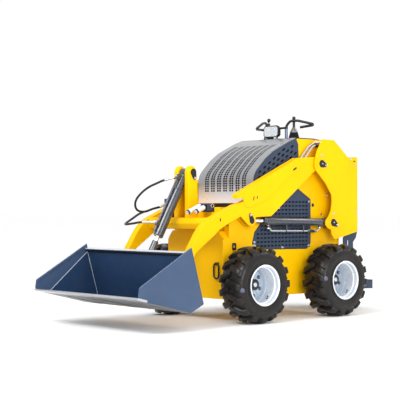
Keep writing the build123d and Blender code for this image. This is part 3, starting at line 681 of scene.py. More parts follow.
def keeper(piece, centre, face, s, angle, r=30.0, reach=46.0, mat=None, t=7.0):
    """Pin keeper: a teardrop plate over a pin's head, held by one bolt."""
    mat = mat or black_paint
    big, small = circle((0, 0), r, 40), circle((reach, 0), 13.0, 24)
    a = math.acos((r - 13.0) / reach)
    loop = [p for p in [(r * math.cos(t_), r * math.sin(t_)) for t_ in [a + (2 * math.pi - 2 * a) * i / 28 for i in range(29)]]]
    loop += [(reach + 13.0 * math.cos(t_), 13.0 * math.sin(t_)) for t_ in [-a + 2 * a * i / 12 for i in range(13)]]
    ca, sa = math.cos(angle), math.sin(angle)
    loop = [(centre[0] + x * ca - y * sa, centre[1] + x * sa + y * ca) for x, y in loop]
    piece.add(flat(loop, s * face, s * (face + t), "side", 1.4), mat)
    end = (centre[0] + reach * ca, s * (face + t), centre[1] + reach * sa)
    piece.bolt(end, (0, s, 0), 13.0)
    return piece


def weld(piece, points, r=2.6, mat=None, seed=1):
    """A weld bead: a rippled bar half sunk in the seam."""
    mat = mat or yellow
    pts = [Vector(p) for p in points]
    run = []
    for a, b in zip(pts, pts[1:]):
        n = max(2, int((b - a).length / 5.0))
        run += [a + (b - a) * i / n for i in range(n)]
    run.append(pts[-1])
    radii = [r * (1.0 + 0.16 * math.sin(i * 2.1 + seed) + 0.08 * noise.noise(Vector((i * 0.7, seed, 0)))) for i in range(len(run))]
    piece.add(pipe(run, r, 6, radii), mat)
    return piece


random.seed(7)

# ---------------------------------------------------------------------------
# Chassis: side plates round the grille openings, front plate, step, belly, rear
# ---------------------------------------------------------------------------
SIDE_OUTLINE = [
    (140, 155), (140, 552), (84, 552), (84, 655), (-140, 786), (-146, 790), (-146, 849), (-575, 1036),
    (-590, 1133), (-586, 1212), (-566, 1250), (-750, 1249), (-875, 1247),
    (-1024, 1129), (-1118, 1129), (-1118, 590), (-1010, 560), (-1010, 230),
    (-930, 155),
]
GRILLE_OUTLINE = [
    (-128, 520), (-165, 476), (-672, 470), (-712, 510), (-712, 824),
    (-561, 910), (-300, 745), (-235, 690), (-192, 640), (-150, 595),
]
inner = CHASSIS_HALF - SIDE_T
p = Piece("chassis_body")
side_holes = [rounded(GRILLE_OUTLINE, 14)] + [circle(c, 24.6, 32) for c in (ARM_PIVOT, LIFT_BASE)]
for s in (1, -1):
    p.add(flat(rounded(SIDE_OUTLINE, 7, 2), s * inner, s * CHASSIS_HALF, "side", 1.4, side_holes), yellow)
p.add(flat([(-inner, 155), (inner, 155), (inner, 555), (235, 605), (-235, 605), (-inner, 555)], 130, 139.5, "front", 1.4), yellow)
for s in (1, -1):
    p.add(flat([(s * 282, 548), (s * 281.5, 556), (s * 235, 605), (s * 225, 601)], 80, 131, "front", 1.0), yellow)
    p.add(slab(74, 84, s * 222, s * inner, 548, 650, 1.2), yellow)
    weld(p, [(139, s * 281, 160), (139, s * 281, 548)], 2.4, yellow, 3 + s)
    weld(p, [(139, s * 279, 554), (139, s * 236, 604)], 2.2, yellow, 5 + s)
p.add(slab(74, 134, -236, 236, 596, 604.5, 1.2), yellow)
weld(p, [(139, -233, 605), (139, 233, 605)], 2.2, yellow, 2)
p.add(slab(74, 84, -230, 230, 600, 650, 1.2), yellow)
# deck and belly plates in the darker yellow: painted shade
p.add(slab(-600, 84, -inner, inner, 640, 650, 1.2), yellow_shaded_dusty)
p.add(slab(-930, 132, -inner, inner, 155.5, 165, 1.2, holes=[circle((-200, 0), 20, 24), circle((-640, 0), 26, 24), slot_loop((-420, 130), 120, 40), slot_loop((-420, -130), 120, 40)]), yellow_shaded_dusty)
p.add(slab(-1010, -1000.5, -inner, inner, 232, 600, 1.2), yellow)
p.add(flat([(-1010, 230), (-930, 155.5), (-930, 166), (-1004, 238)], -inner, inner, "side", 1.2), yellow)
p.add(slab(-1118, -1110, -inner, inner, 590, 1128, 1.2), yellow)
# stiffening ribs and cross bars inside, seen from below and through the slots, in the darker yellow of painted shade
for x in (-60, -330, -720):
    p.add(slab(x - 4, x + 4, -inner, inner, 165, 205, 1.0), yellow_shaded_dusty)
p.add(slab(-150, -140.5, -inner, inner, 650, 767, 1.2), yellow)
# a black panel below the hood's front edge: painted shadow of the opening between hood and deck
p.add(slab(-172, -164, -inner, inner, 740, 794, 1.0), black_paint)
for s in (1, -1):
    weld(p, [(-1009, s * 281, 236), (-1009, s * 281, 556)], 2.2, yellow, 8)
    weld(p, [(-925, s * 280, 156.5), (130, s * 280, 156.5)], 1.3, yellow, 4)
    # wheel motor mounting plates on the side
    for x in (0.0, -WHEELBASE):
        p.add(flat(rounded([(x - 96, 172), (x + 96, 172), (x + 96, 336), (x - 96, 336)], 14), s * CHASSIS_HALF, s * (CHASSIS_HALF + 3), "side", 1.0), yellow)
p.done("chassis", ["chassis_frame"])

# bolts and plugs on the side plates
p = Piece("chassis_bolts")
for s in (1, -1):
    y = s * CHASSIS_HALF
    for c in ((-148, 505), (-690, 492), (-883, 852), (-1064, 650), (-1064, 1060)):
        p.bolt((c[0], y, c[1]), (0, s, 0), 14.0)
    for c in ((-390, 762), (-819, 716)):
        p.button((c[0], y, c[1]), (0, s, 0), 9.0)
    p.add(lathe([(0, -1.0), (13.0, -1.0), (13.0, 1.6), (11.6, 3.0), (8.0, 2.0), (0, 1.6)], (-733, y, 781), (0, s, 0), 32), black_plastic)
    for x in (0.0, -WHEELBASE):
        for a in (45, 135, 225, 315):
            p.bolt((x + 84 * math.cos(math.radians(a)) * 1.02, s * (CHASSIS_HALF + 3), TYRE_R + 68 * math.sin(math.radians(a))), (0, s, 0), 15.0)
for s in (1, -1):
    for z in (250, 420):
        p.bolt((-1010, s * 120, z), (-1, 0, 0), 15.0)
p.done("chassis")

# ---------------------------------------------------------------------------
# Towers
# ---------------------------------------------------------------------------
TOWER_OUTLINE = [
    (-750, 1249), (-875, 1247), (-1024, 1129), (-1129, 1133), (-1129, 588),
    (-876, 533), (-845, 572), (-845, 600), (-800, 622), (-783, 645), (-783, 668),
    (-815, 700), (-840, 740), (-852, 800), (-849, 850), (-790, 930), (-690, 1020),
    (-671, 1049), (-674, 1090), (-690, 1150),
]
p = Piece("tower_plates")
for s in (1, -1):
    p.add(flat(rounded(TOWER_OUTLINE, 16, 4), s * TOWER_IN, s * TOWER_OUT, "side", 1.6,
               [circle(c, 24.7, 32) for c in (ARM_PIVOT, LIFT_BASE)] + [slot_loop((-1096, 1100), 24, 9, math.radians(8))]), yellow)
    p.add(slab(-1128.5, -1119, s * CHASSIS_HALF, s * (TOWER_IN + 1), 600, 1119, 1.2), yellow)
    p.add(slab(-1119, -1000, s * CHASSIS_HALF, s * (TOWER_IN + 1), 1112, 1120, 1.2), yellow)
    weld(p, [(-1126, s * 354, 604), (-1126, s * 354, 1116)], 2.0, yellow, 1)
    # a folded stiffener along the tower's rear edge and reinforcing pads round the pins
    for c, r in ((ARM_PIVOT, 50.0), (LIFT_BASE, 46.0)):
        p.add(drum(r, 0.0, 3.0, (c[0], s * (TOWER_OUT - 0.4), c[1]), (0, s, 0), 48, 1.0, bore=24.7), yellow)
        p.add(drum(r - 8, 0.0, s * 1.0 * 4.0 if s > 0 else 4.0, (c[0], s * (TOWER_IN + 0.4), c[1]), (0, -s, 0), 40, 1.0, bore=24.9), yellow)
p.done("chassis", ["arm_towers"])

p = Piece("tower_pin_set")
for s in (1, -1):
    for k, c in enumerate((ARM_PIVOT, LIFT_BASE)):
        p.add(drum(24.95, 0.0, TOWER_OUT + 5 - (CHASSIS_HALF - SIDE_T - 12), (c[0], s * (CHASSIS_HALF - SIDE_T - 12), c[1]), (0, s, 0), 48, 1.6), pin_steel)
        p.add(drum(33.0, 0.0, 9.0, (c[0], s * (CHASSIS_HALF - SIDE_T - 14), c[1]), (0, s, 0), 40, 1.6), pin_steel)
p.done("chassis", ["tower_pins"])

p = Piece("pin_keepers")
for s in (1, -1):
    keeper(p, ARM_PIVOT, TOWER_OUT + 3, s, math.radians(-166), 27, 42, black_paint, 4.5)
    keeper(p, LIFT_BASE, TOWER_OUT + 3, s, math.radians(-154), 27, 42, black_paint, 4.5)
    p.add(drum(5.2, 0.0, 12.0, (ARM_PIVOT[0], s * (TOWER_OUT + 2), ARM_PIVOT[1]), (0, s, 0), 16, 1.0), zinc)
    p.add(drum(5.2, 0.0, 12.0, (LIFT_BASE[0], s * (TOWER_OUT + 2), LIFT_BASE[1]), (0, s, 0), 16, 1.0), zinc)
    for c in ((-743, 1134), (-1056, 1116), (-1108, 1076), (-1112, 731), (-864, 720)):
        p.bolt((c[0], s * TOWER_OUT, c[1]), (0, s, 0), 12.0)
p.done("chassis")

# ---------------------------------------------------------------------------
# Engine compartment: hood, side panels, grilles, engine, console
# ---------------------------------------------------------------------------
HOOD_LINE = [(-140, 794), (-140, 975), (-168, 1020), (-256, 1104), (-337, 1160), (-495, 1232), (-562, 1256)]
HOOD_T = 2.4


def smooth_line(points, radius, n=6):
    """An open outline with its bends rounded."""
    return [(q.x, q.z) for q in bend([(a, 0, b) for a, b in points], radius, n)]


hood_line = smooth_line(HOOD_LINE, 150.0, 8)
run = [0.0]
for a, b in zip(hood_line, hood_line[1:]):
    run.append(run[-1] + math.hypot(b[0] - a[0], b[1] - a[1]))


def on_hood(s, depth=0.0):
    """Point and outward normal on the hood's outside at a length along it."""
    s = max(0.0, min(run[-1], s))
    for k in range(len(run) - 1):
        if s <= run[k + 1] + 1e-9:
            break
    a, b = hood_line[k], hood_line[k + 1]
    t = (s - run[k]) / max(1e-9, run[k + 1] - run[k])
    d = Vector((b[0] - a[0], b[1] - a[1])).normalized()
    nx, nz = d.y, -d.x
    # blend the normals of neighbouring runs so that the sheet bends smoothly
    def nrm(i):
        i = max(0, min(len(hood_line) - 2, i))
        e = Vector((hood_line[i + 1][0] - hood_line[i][0], hood_line[i + 1][1] - hood_line[i][1])).normalized()
        return Vector((e.y, -e.x))
    lo = (nrm(k - 1) + nrm(k)).normalized()
    hi = (nrm(k) + nrm(k + 1)).normalized()
    m = (lo * (1 - t) + hi * t).normalized()
    x, z = a[0] + (b[0] - a[0]) * t, a[1] + (b[1] - a[1]) * t
    return (x - m.x * depth, z - m.y * depth), m


def wrap_flat(outline_holes, half, s0, s1, thick, bevel, strips):
    """A perforated sheet drawn flat (u = length along the hood, v across), split in narrow strips so that it bends, then wrapped on the hood's line."""
    outline, holes = outline_holes
    bm = flat(outline, 0.0, thick, "top", bevel, holes)
    for k in range(1, strips):
        s = s0 + (s1 - s0) * k / strips
        bmesh.ops.bisect_plane(bm, geom=bm.verts[:] + bm.edges[:] + bm.faces[:], plane_co=(s, 0, 0), plane_no=(1, 0, 0), dist=1e-4)
    for v in bm.verts:
        (x, z), _ = on_hood(v.co.x, thick - v.co.z)
        v.co = Vector((x, v.co.y, z))
    bmesh.ops.recalc_face_normals(bm, faces=bm.faces[:])
    return bm


ROWS, COLS, PITCH_S, PITCH_Y, PAIR = 29, 7, 16.7, 63.2, 11.3
holes = []
for i in range(ROWS):
    for j in range(COLS):
        for side in (-1, 1):
            holes.append(rect_loop((88 + PITCH_S * i, (j - (COLS - 1) / 2) * PITCH_Y + side * PAIR), 12.8, 18.0, 3.4, n=1))
p = Piece("hood_sheet")
S_END = run[-1] - 2
hood = wrap_flat(([(1, -CHASSIS_HALF + 0.5), (S_END, -CHASSIS_HALF + 0.5), (S_END, CHASSIS_HALF - 0.5), (1, CHASSIS_HALF - 0.5)], holes), CHASSIS_HALF, 1, S_END, HOOD_T, 0.9, 44)
p.add(hood, hood_paint)
# folded side flanges and a returned lip along the bottom edge
for s in (1, -1):
    pts_o = [on_hood(t, HOOD_T - 0.4)[0] for t in [2 + (S_END - 4) * i / 40 for i in range(41)]]
    pts_i = [on_hood(t, HOOD_T + 13.0)[0] for t in [2 + (S_END - 4) * i / 40 for i in range(41)]]
    p.add(flat(pts_o + pts_i[::-1], s * (CHASSIS_HALF - 10.0), s * (CHASSIS_HALF - 7.2), "side", 0.6), hood_paint)
p.add(slab(-156, -144.4, -CHASSIS_HALF + 8, CHASSIS_HALF - 8, 794.6, 798, 0.8), hood_paint)
p.done("chassis", ["hood_cover"], angle=25)

# a baffle of dark strips behind the perforations: painted shade seen through the holes
p = Piece("hood_screen")
for j in range(COLS):
    yy = (j - (COLS - 1) / 2) * PITCH_Y
    loop_o = [on_hood(t, 13.0)[0] for t in [70 + 502 * i / 30 for i in range(31)]]
    loop_i = [on_hood(t, 14.5)[0] for t in [70 + 502 * i / 30 for i in range(31)]]
    p.add(flat(loop_o + loop_i[::-1], yy - 29, yy + 29, "side", 0.4), shade_screen_black)
p.done("chassis")

HOOD_SIDE = [
    (-146, 850), (-146, 972.7), (-173, 1016.5), (-259.7, 1099.3), (-340, 1154.4), (-497.4, 1226.2),
    (-558, 1248.5), (-564, 1250), (-585.5, 1212), (-589.5, 1133), (-575, 1036.8),
]


def inside(loop, p_, margin):
    """Whether a point lies in the outline, farther than margin from its sides."""
    x, y = p_
    hit = False
    for (ax, ay), (bx, by) in zip(loop, loop[1:] + loop[:1]):
        if (ay > y) != (by > y) and x < (bx - ax) * (y - ay) / (by - ay) + ax:
            hit = not hit
        d = Vector((bx - ax, by - ay))
        t = max(0.0, min(1.0, ((x - ax) * d.x + (y - ay) * d.y) / d.length_squared))
        if math.hypot(ax + d.x * t - x, ay + d.y * t - y) < margin:
            return False
    return hit


slots = []
for i in range(-6, 9):
    for j in range(-1, 9):
        c = (-485 - 39.0 * j + 46.5 * i, 1199 - 7.5 * j - 31.8 * i)
        if inside(HOOD_SIDE, c, 25.0):
            slots.append(slot_loop(c, 33.0, 12.5, math.radians(180 - 33.5), 3))
p = Piece("hood_side_panels")
side_panel = rounded([(-148, 851.5), (-148, 971), (-175, 1014.5), (-261.5, 1097), (-341.5, 1152), (-497.9, 1223.6), (-560, 1246), (-565.5, 1248.5), (-584, 1212), (-587.5, 1133), (-574, 1039)], 10, 3)
for s in (1, -1):
    p.add(flat(side_panel, s * (CHASSIS_HALF - 5), s * CHASSIS_HALF, "side", 1.2, slots), panel_paint)
    # a dark sheet behind the side panel's slots: painted shade seen through them
    p.add(flat([(-166, 860), (-166, 965), (-190, 1004), (-270, 1082), (-350, 1136), (-500, 1205), (-556, 1226), (-568, 1200), (-570, 1130), (-560, 1044)], s * (CHASSIS_HALF - 24), s * (CHASSIS_HALF - 22), "side", 0.5), shade_screen_black)
p.done("chassis", ["hood_sides"])

grille_slots = []
for r in range(12):
    for c in range(20):
        q = (-150 - 34.5 * c, 500 + 27.5 * r)
        if inside(GRILLE_OUTLINE, q, 17.0):
            grille_slots.append(rect_loop(q, 21.0, 10.5, 3.0, n=2))
p = Piece("grille_panels")
for s in (1, -1):
    p.add(flat(rounded([(-130, 521), (-166, 478), (-671, 472), (-710, 511), (-710, 822), (-561, 907), (-301, 742), (-237, 688), (-194, 638), (-152, 594)], 12),
               s * (CHASSIS_HALF - 5), s * (CHASSIS_HALF + 1), "side", 1.2, grille_slots), panel_paint)
    for c in ((-148, 528), (-684, 492), (-420, 487)):
        p.bolt((c[0], s * (CHASSIS_HALF + 1), c[1]), (0, s, 0), 12.0)
    for c in ((-390, 779), (-694, 806)):
        p.button((c[0], s * (CHASSIS_HALF + 0.6), c[1]), (0, s, 0), 8.0)
    # dark screen behind the slots of each side: painted shade seen through them
    p.add(flat([(-140, 524), (-168, 484), (-668, 478), (-704, 514), (-704, 818), (-561, 900), (-306, 736), (-242, 682), (-199, 632), (-158, 590)], s * (CHASSIS_HALF - 24), s * (CHASSIS_HALF - 22), "side", 0.5), shade_screen_black)
p.done("chassis", ["side_grilles"])

p = Piece("engine_mass")
p.add(slab(-598, -232, -188, 188, 654, 930, 12.0), cast)
p.add(slab(-560, -270, -150, 150, 928, 956, 8.0), black_plastic)
for k in range(9):
    for s in (1, -1):
        p.add(slab(-585 + k * 40, -573 + k * 40, s * 186, s * 189.5, 690, 900, 1.0), cast)
p.add(drum(46, 0, 60, (-420, 0, 896), (0, 0, 1), 32, 6.0), black_plastic)
p.done("chassis", ["engine_block"])

CONSOLE = [(-562, 1256), (-562, 1240), (-590, 1170), (-1060, 1100), (-1060, 1128), (-1024, 1128), (-875, 1245), (-760, 1257.5), (-566, 1257.5)]
p = Piece("console_top")
p.add(flat(rounded(CONSOLE, 5, 2), -CHASSIS_HALF + SIDE_T, CHASSIS_HALF - SIDE_T, "side", 1.6), black_paint)
d = Vector((-875 + 1024, 1245 - 1128)).normalized()
p.bolt((-890, 240, 1233.0), (-0.62, 0, 0.785), 12.0)
p.bolt((-890, -240, 1233.0), (-0.62, 0, 0.785), 12.0)
p.bolt((-1008, 240, 1140.0), (-0.62, 0, 0.785), 12.0)
p.bolt((-1008, -240, 1140.0), (-0.62, 0, 0.785), 12.0)
# a blank round gauge and a key switch on the sloping face that the operator reads
gn = Vector((-d.y, 0, d.x))
for y, r in ((0, 30.0), (-74, 15.0), (70, 15.0)):
    base = Vector((-948, y, 1187.5)) + Vector((0, 0, 0.0))
    p.add(lathe([(0, -3), (r, -3), (r + 2, 0), (r + 2, 3), (r - 1, 4.5), (r - 2.5, 2.5), (0, 2.5)], base, gn, 32), zinc if r < 20 else black_plastic)
    if r > 20:
        p.add(drum(r - 3.5, 2.4, 3.2, base, gn, 32, 0.2), dot_label)
    else:
        p.add(slab(base.x - 2, base.x + 2, y - 10, y + 10, base.z + 2, base.z + 12, 0.8), black_plastic)
p.done("chassis", ["control_console"])

# ---------------------------------------------------------------------------
# Hand-hold bars, levers, work light, lashing rings
# ---------------------------------------------------------------------------
p = Piece("hand_hold_bars")
for s in (1, -1):
    path = bend([(-655, s * 97, 1258.5), (-655, s * 97, 1352), (-668, s * 124, 1389), (-690, s * 178, 1389), (-732, s * 285, 1361), (-733, s * 285, 1352), (-702, s * 192, 1341)], 40.0, 7)
    p.add(pipe(path, 9.3, 20), black_paint)
    p.add(drum(19, 0.0, 5.0, (-655, s * 97, 1257.8), (0, 0, 1), 28, 1.2), black_paint)
    # plain tube collars between the console and the cross bar
    p.add(drum(10.6, 0.0, 76.0, (-655, s * 97, 1264), (0, 0, 1), 28, 1.0), nut_blue)
    p.add(drum(12.2, -9.0, 9.0, (-655, s * 97, 1340), (0, 0, 1), 24, 2.0), black_paint)
p.add(pipe([(-655, -96, 1340), (-655, 96, 1340)], 7.8, 20), black_paint)
p.done("chassis", ["grab_bars"])

p = Piece("lever_set")
for s in (1, -1):
    o = (-703, s * 127.5, 0)
    # gaiter: a flange and falling pleats
    prof = [(0, 1258.5), (42, 1258.5), (42, 1264), (39, 1266)]
    z, r = 1267.0, 38.0
    while z < 1310:
        prof += [(r, z), (r + 2.6, z + 2.0), (r - 0.6, z + 4.4)]
        z, r = z + 5.6, r - 1.55
    prof += [(24, 1311), (0, 1311)]
    p.add(lathe(prof, o, (0, 0, 1), 36), boot_rubber)
    p.add(lathe([(0, 1306), (29, 1306), (28.6, 1312), (14, 1340), (12.2, 1343.4), (0, 1343.4)], o, (0, 0, 1), 36), dull_steel)
    p.add(drum(9.6, 1340, 1388, o, (0, 0, 1), 24, 1.0), black_plastic)
    p.add(drum(9.9, 1386, 1393, o, (0, 0, 1), 24, 1.2), zinc)
    p.add(lathe([(0, 1391), (7.6, 1391), (8.0, 1397), (11.0, 1402), (12.8, 1408), (12.6, 1414), (10.4, 1419.2), (6.0, 1422.2), (0, 1422.9)], o, (0, 0, 1), 32), black_plastic)
    for k in range(4):
        a = math.radians(45 + 90 * k)
        p.bolt((-703 + 35 * math.cos(a), s * 127.5 + 35 * math.sin(a), 1263.5), (0, 0, 1), 7.0, washer=False)
p.done("chassis", ["control_levers"])

LIGHT_X, LIGHT_Z = -589.0, 1315.0
octagon = lambda a, b, c: [(-a / 2 + c, -b / 2), (a / 2 - c, -b / 2), (a / 2, -b / 2 + c), (a / 2, b / 2 - c), (a / 2 - c, b / 2), (-a / 2 + c, b / 2), (-a / 2, b / 2 - c), (-a / 2, -b / 2 + c)]
at_z = lambda loop: [(u, v + LIGHT_Z) for u, v in loop]
p = Piece("work_light_body")
p.add(flat(at_z(octagon(150, 86, 16)), LIGHT_X - 20, LIGHT_X - 4, "front", 2.0, [at_z(octagon(134, 71, 12))]), black_paint)
p.add(flat(at_z(octagon(140, 77, 14)), LIGHT_X - 38, LIGHT_X - 19, "front", 3.0), black_paint)
for k in range(7):
    p.add(slab(LIGHT_X - 41.5, LIGHT_X - 36, -54 + 17 * k, -50 + 17 * k, LIGHT_Z - 28, LIGHT_Z + 28, 0.8), black_paint)
for s in (1, -1):
    p.add(slab(LIGHT_X - 34, LIGHT_X - 14, s * 41, s * 46, 1259, LIGHT_Z - 34, 0.8), black_paint)
    p.bolt((LIGHT_X - 24, s * 46, 1268), (0, s, 0), 9.0, washer=False)
    p.bolt((LIGHT_X - 12, s * 56, 1262.8), (0, 0, 1), 9.0)
p.add(slab(LIGHT_X - 37, LIGHT_X - 8, -62, 62, 1258.3, 1263, 0.8), black_paint)
p.done("chassis", ["work_light"])

p = Piece("work_light_glass")
p.add(flat(at_z(octagon(134.5, 71.5, 12)), LIGHT_X - 7, LIGHT_X - 3, "front", 0.6), lens)
p.add(flat(at_z(octagon(134, 71, 12)), LIGHT_X - 18.4, LIGHT_X - 16.5, "front", 0.4), reflector)
for s in (-1, 1):
    p.add(lathe([(12, -17), (29, -8.6), (30.5, -8.6), (30.5, -16.5), (12, -17.6)], (LIGHT_X, s * 32, LIGHT_Z), (1, 0, 0), 32, ring=True), reflector)
    p.add(lathe([(0, -17), (9, -17), (9, -12), (6, -9.4), (0, -8.8)], (LIGHT_X, s * 32, LIGHT_Z), (1, 0, 0), 20), dot_label)
p.done("chassis", ["work_light_lens"])

p = Piece("lashing_ring_set")
for s in (1, -1):
    y = s * 228
    zc, hw, hh = 342.0, 24.0, 51.0
    path = [(152.0, y + hw * math.cos(math.radians(a)), zc + (hh - hw) + hw * math.sin(math.radians(a))) for a in range(0, 181, 15)]
    path += [(152.0, y + hw * math.cos(math.radians(a)), zc - (hh - hw) + hw * math.sin(math.radians(a))) for a in range(180, 361, 15)]
    p.add(closed_pipe(path, 5.9, 14), black_paint)
    p.add(slab(139, 147, y - 15, y + 15, 384, 399, 1.4, r=4), black_paint)
    weld(p, [(147.5, y - 14, 383), (147.5, y + 14, 383)], 2.2, black_paint, 3)
    # the flat eye on the side plate, with its round hole
    o = (CHASSIS_HALF if s > 0 else -CHASSIS_HALF - 8)
    p.add(flat(rounded([(25, 478), (59, 478), (59, 528), (25, 528)], 8), o, o + 8, "side", 1.4, [circle((42, 503), 9.2, 24)]), black_paint)
p.done("chassis", ["lashing_rings"])

# ---------------------------------------------------------------------------
# Rear: panel with louvres, guard, fold-up platform
# ---------------------------------------------------------------------------
p = Piece("rear_door")
p.add(flat(rounded([(-248, 640), (248, 640), (248, 1108), (-248, 1108)], 18, 4), -1126.5, -1119.2, "front", 1.6), yellow)
for i in range(9):
    z = 720 + 42 * i
    p.add(flat([(-1126, z - 9), (-1132.6, z - 7), (-1127, z + 9), (-1124, z + 9)], -190, 190, "side", 0.8), panel_paint)
for y, z in ((-225, 664), (225, 664), (-225, 1085), (225, 1085)):
    p.bolt((-1126.5, y, z), (-1, 0, 0), 10.0)
p.add(slab(-1130, -1126, -24, 24, 668, 690, 0.8, r=4), black_plastic)
p.done("chassis", ["rear_panel"])

GUARD_OUTER = [
    (-1133, 727), (-1152, 722), (-1166, 690), (-1168, 590), (-1150, 540), (-1120, 510),
    (-1120, 380), (-1012, 380), (-1012, 545), (-1050, 570), (-1110, 580), (-1140, 600), (-1152, 690), (-1146, 712),
    (-1133, 716),
]
HINGE = (-1085.0, 190.0)
p = Piece("rear_guard_frame")
for s in (1, -1):
    p.add(flat(rounded(GUARD_OUTER, 10, 3), s * 318, s * 326, "side", 1.2, [slot_loop((-1064, 505), 44, 14, math.radians(90))]), panel_paint)
    p.add(slab(-1060, -1020, s * 326, s * 292, 400, 440, 1.4), panel_paint)
    p.add(flat(rounded([(-1118, 150.5), (-1050, 150.5), (-1018, 230), (-1018, 440), (-1060, 440), (-1060, 250), (-1118, 215)], 10, 3), s * 292, s * 300, "side", 1.2, [circle(HINGE, 12.2, 24)]), panel_paint)
    p.add(slab(-1018, -1010.5, s * 200, s * 300, 260, 430, 1.2), panel_paint)
    for z in (300, 390):
        p.bolt((-1018, s * 235, z), (-1, 0, 0), 15.0)
    p.bolt((-1088, s * 326, 420), (0, s, 0), 17.0)
    p.bolt((-1036, s * 326, 470), (0, s, 0), 15.0)
    weld(p, [(-1019, s * 302, 264), (-1019, s * 302, 426)], 2.2, panel_paint, 2)
p.done("chassis", ["rear_guard"])

p = Piece("platform_tray")
p.add(slab(-1385, -1130, -284, 284, 185.8, 190, 0.8, holes=[slot_loop((-1160 - 70 * i, -190 + 95 * j), 40, 14, 0) for i in range(4) for j in range(5)]), panel_paint)
for s in (1, -1):
    y0, y1 = (279, 284.8) if s > 0 else (-284.8, -279)
    p.add(flat(rounded([(-1390, 155.2), (-1060, 165), (-1060, 215), (-1130, 221.8), (-1390, 221.8)], 8, 3), y0, y1, "side", 1.2), panel_paint)
    p.add(drum(11.9, 0, 26, (HINGE[0], s * 278, HINGE[1]), (0, s, 0), 32, 1.2), zinc)
p.add(slab(-1390.7, -1385, -284.5, 284.5, 155.2, 221.8, 1.2), panel_paint)
p.add(slab(-1130, -1124.4, -278.6, 278.6, 165, 214.6, 1.2), panel_paint)
# raised grip buttons round the drain slots
for i in range(7):
    for j in range(17):
        x, y = -1150 - 35 * i, -264 + 33 * j
        if any(abs(x - (-1160 - 70 * a)) < 27 and abs(y - (-190 + 95 * b)) < 13 for a in range(4) for b in range(5)):
            continue
        p.add(lathe([(0, -0.6), (7.5, -0.6), (6.8, 1.2), (5.4, 2.2), (4.0, 1.0), (0, 0.9)], (x, y, 190), (0, 0, 1), 12), panel_paint)
p.done("platform_body", ["platform"])

# ---------------------------------------------------------------------------
# Wheels
# ---------------------------------------------------------------------------
WHEELS = {"front_left": (0.0, 1), "front_right": (0.0, -1), "rear_left": (-WHEELBASE, 1), "rear_right": (-WHEELBASE, -1)}
CARCASS = [(128, -84), (131, -92), (138, -95), (144, -94), (150, -97), (165, -100), (185, -101.5), (200, -99.5), (212, -94), (222, -84), (229, -66), (233, -42),
           (234, 0), (233, 42), (229, 66), (222, 84), (212, 94), (200, 99.5), (185, 101.5), (165, 100), (150, 97), (144, 94), (138, 95), (131, 92), (128, 84)]
CARCASS_IN = [(128, 78), (150, 88), (185, 93), (214, 84), (222, 50), (222, -50), (214, -84), (185, -93), (150, -88), (128, -78)]
# a lug: top (radius, offset), root (radius, offset), half width, shift along the tread
LUG = [
    ((252.0, -7), (230, -7), 12.0, 40.0), ((253.8, 8), (230, 8), 16.5, 35.0), ((253.9, 30), (229, 30), 19.0, 24.0), ((253.4, 54), (226, 54), 21.5, 11.0),
    ((250.6, 74), (219, 72), 24.0, 1.0), ((244.0, 88), (212, 83), 25.0, -3.0), ((233.0, 96.5), (206, 90), 23.5, -5.0),
]
LUGS = 16


def lug(side, turn):
    bm = bmesh.new()
    rows = []
    for (rt, ot), (rb, ob), hw, shift in LUG:
        row = []
        for r, o, w in ((rb, ob, hw + 5.5), (rt, ot, hw - 1.5), (rt, ot, -hw + 1.5), (rb, ob, -hw - 5.5)):
            a = turn + (shift + w) / 254.0
            row.append(bm.verts.new((r * math.cos(a), side * o, r * math.sin(a))))
        rows.append(row)
    for a, b in zip(rows, rows[1:]):
        for i in range(4):
            j = (i + 1) % 4
            bm.faces.new((a[i], a[j], b[j], b[i]))
    bm.faces.new(rows[0]), bm.faces.new(rows[-1])
    bmesh.ops.recalc_face_normals(bm, faces=bm.faces[:])
    top = []
    for a, b in zip(rows, rows[1:]):
        for i in (1, 2):
            top.append(bm.edges.get((a[i], b[i])))
    top += [bm.edges.get((rows[0][1], rows[0][2])), bm.edges.get((rows[-1][1], rows[-1][2]))]
    bmesh.ops.bevel(bm, geom=[e for e in top if e], offset=3.2, segments=2, affect="EDGES", profile=0.5, clamp_overlap=True)
    bmesh.ops.recalc_face_normals(bm, faces=bm.faces[:])
    return bm


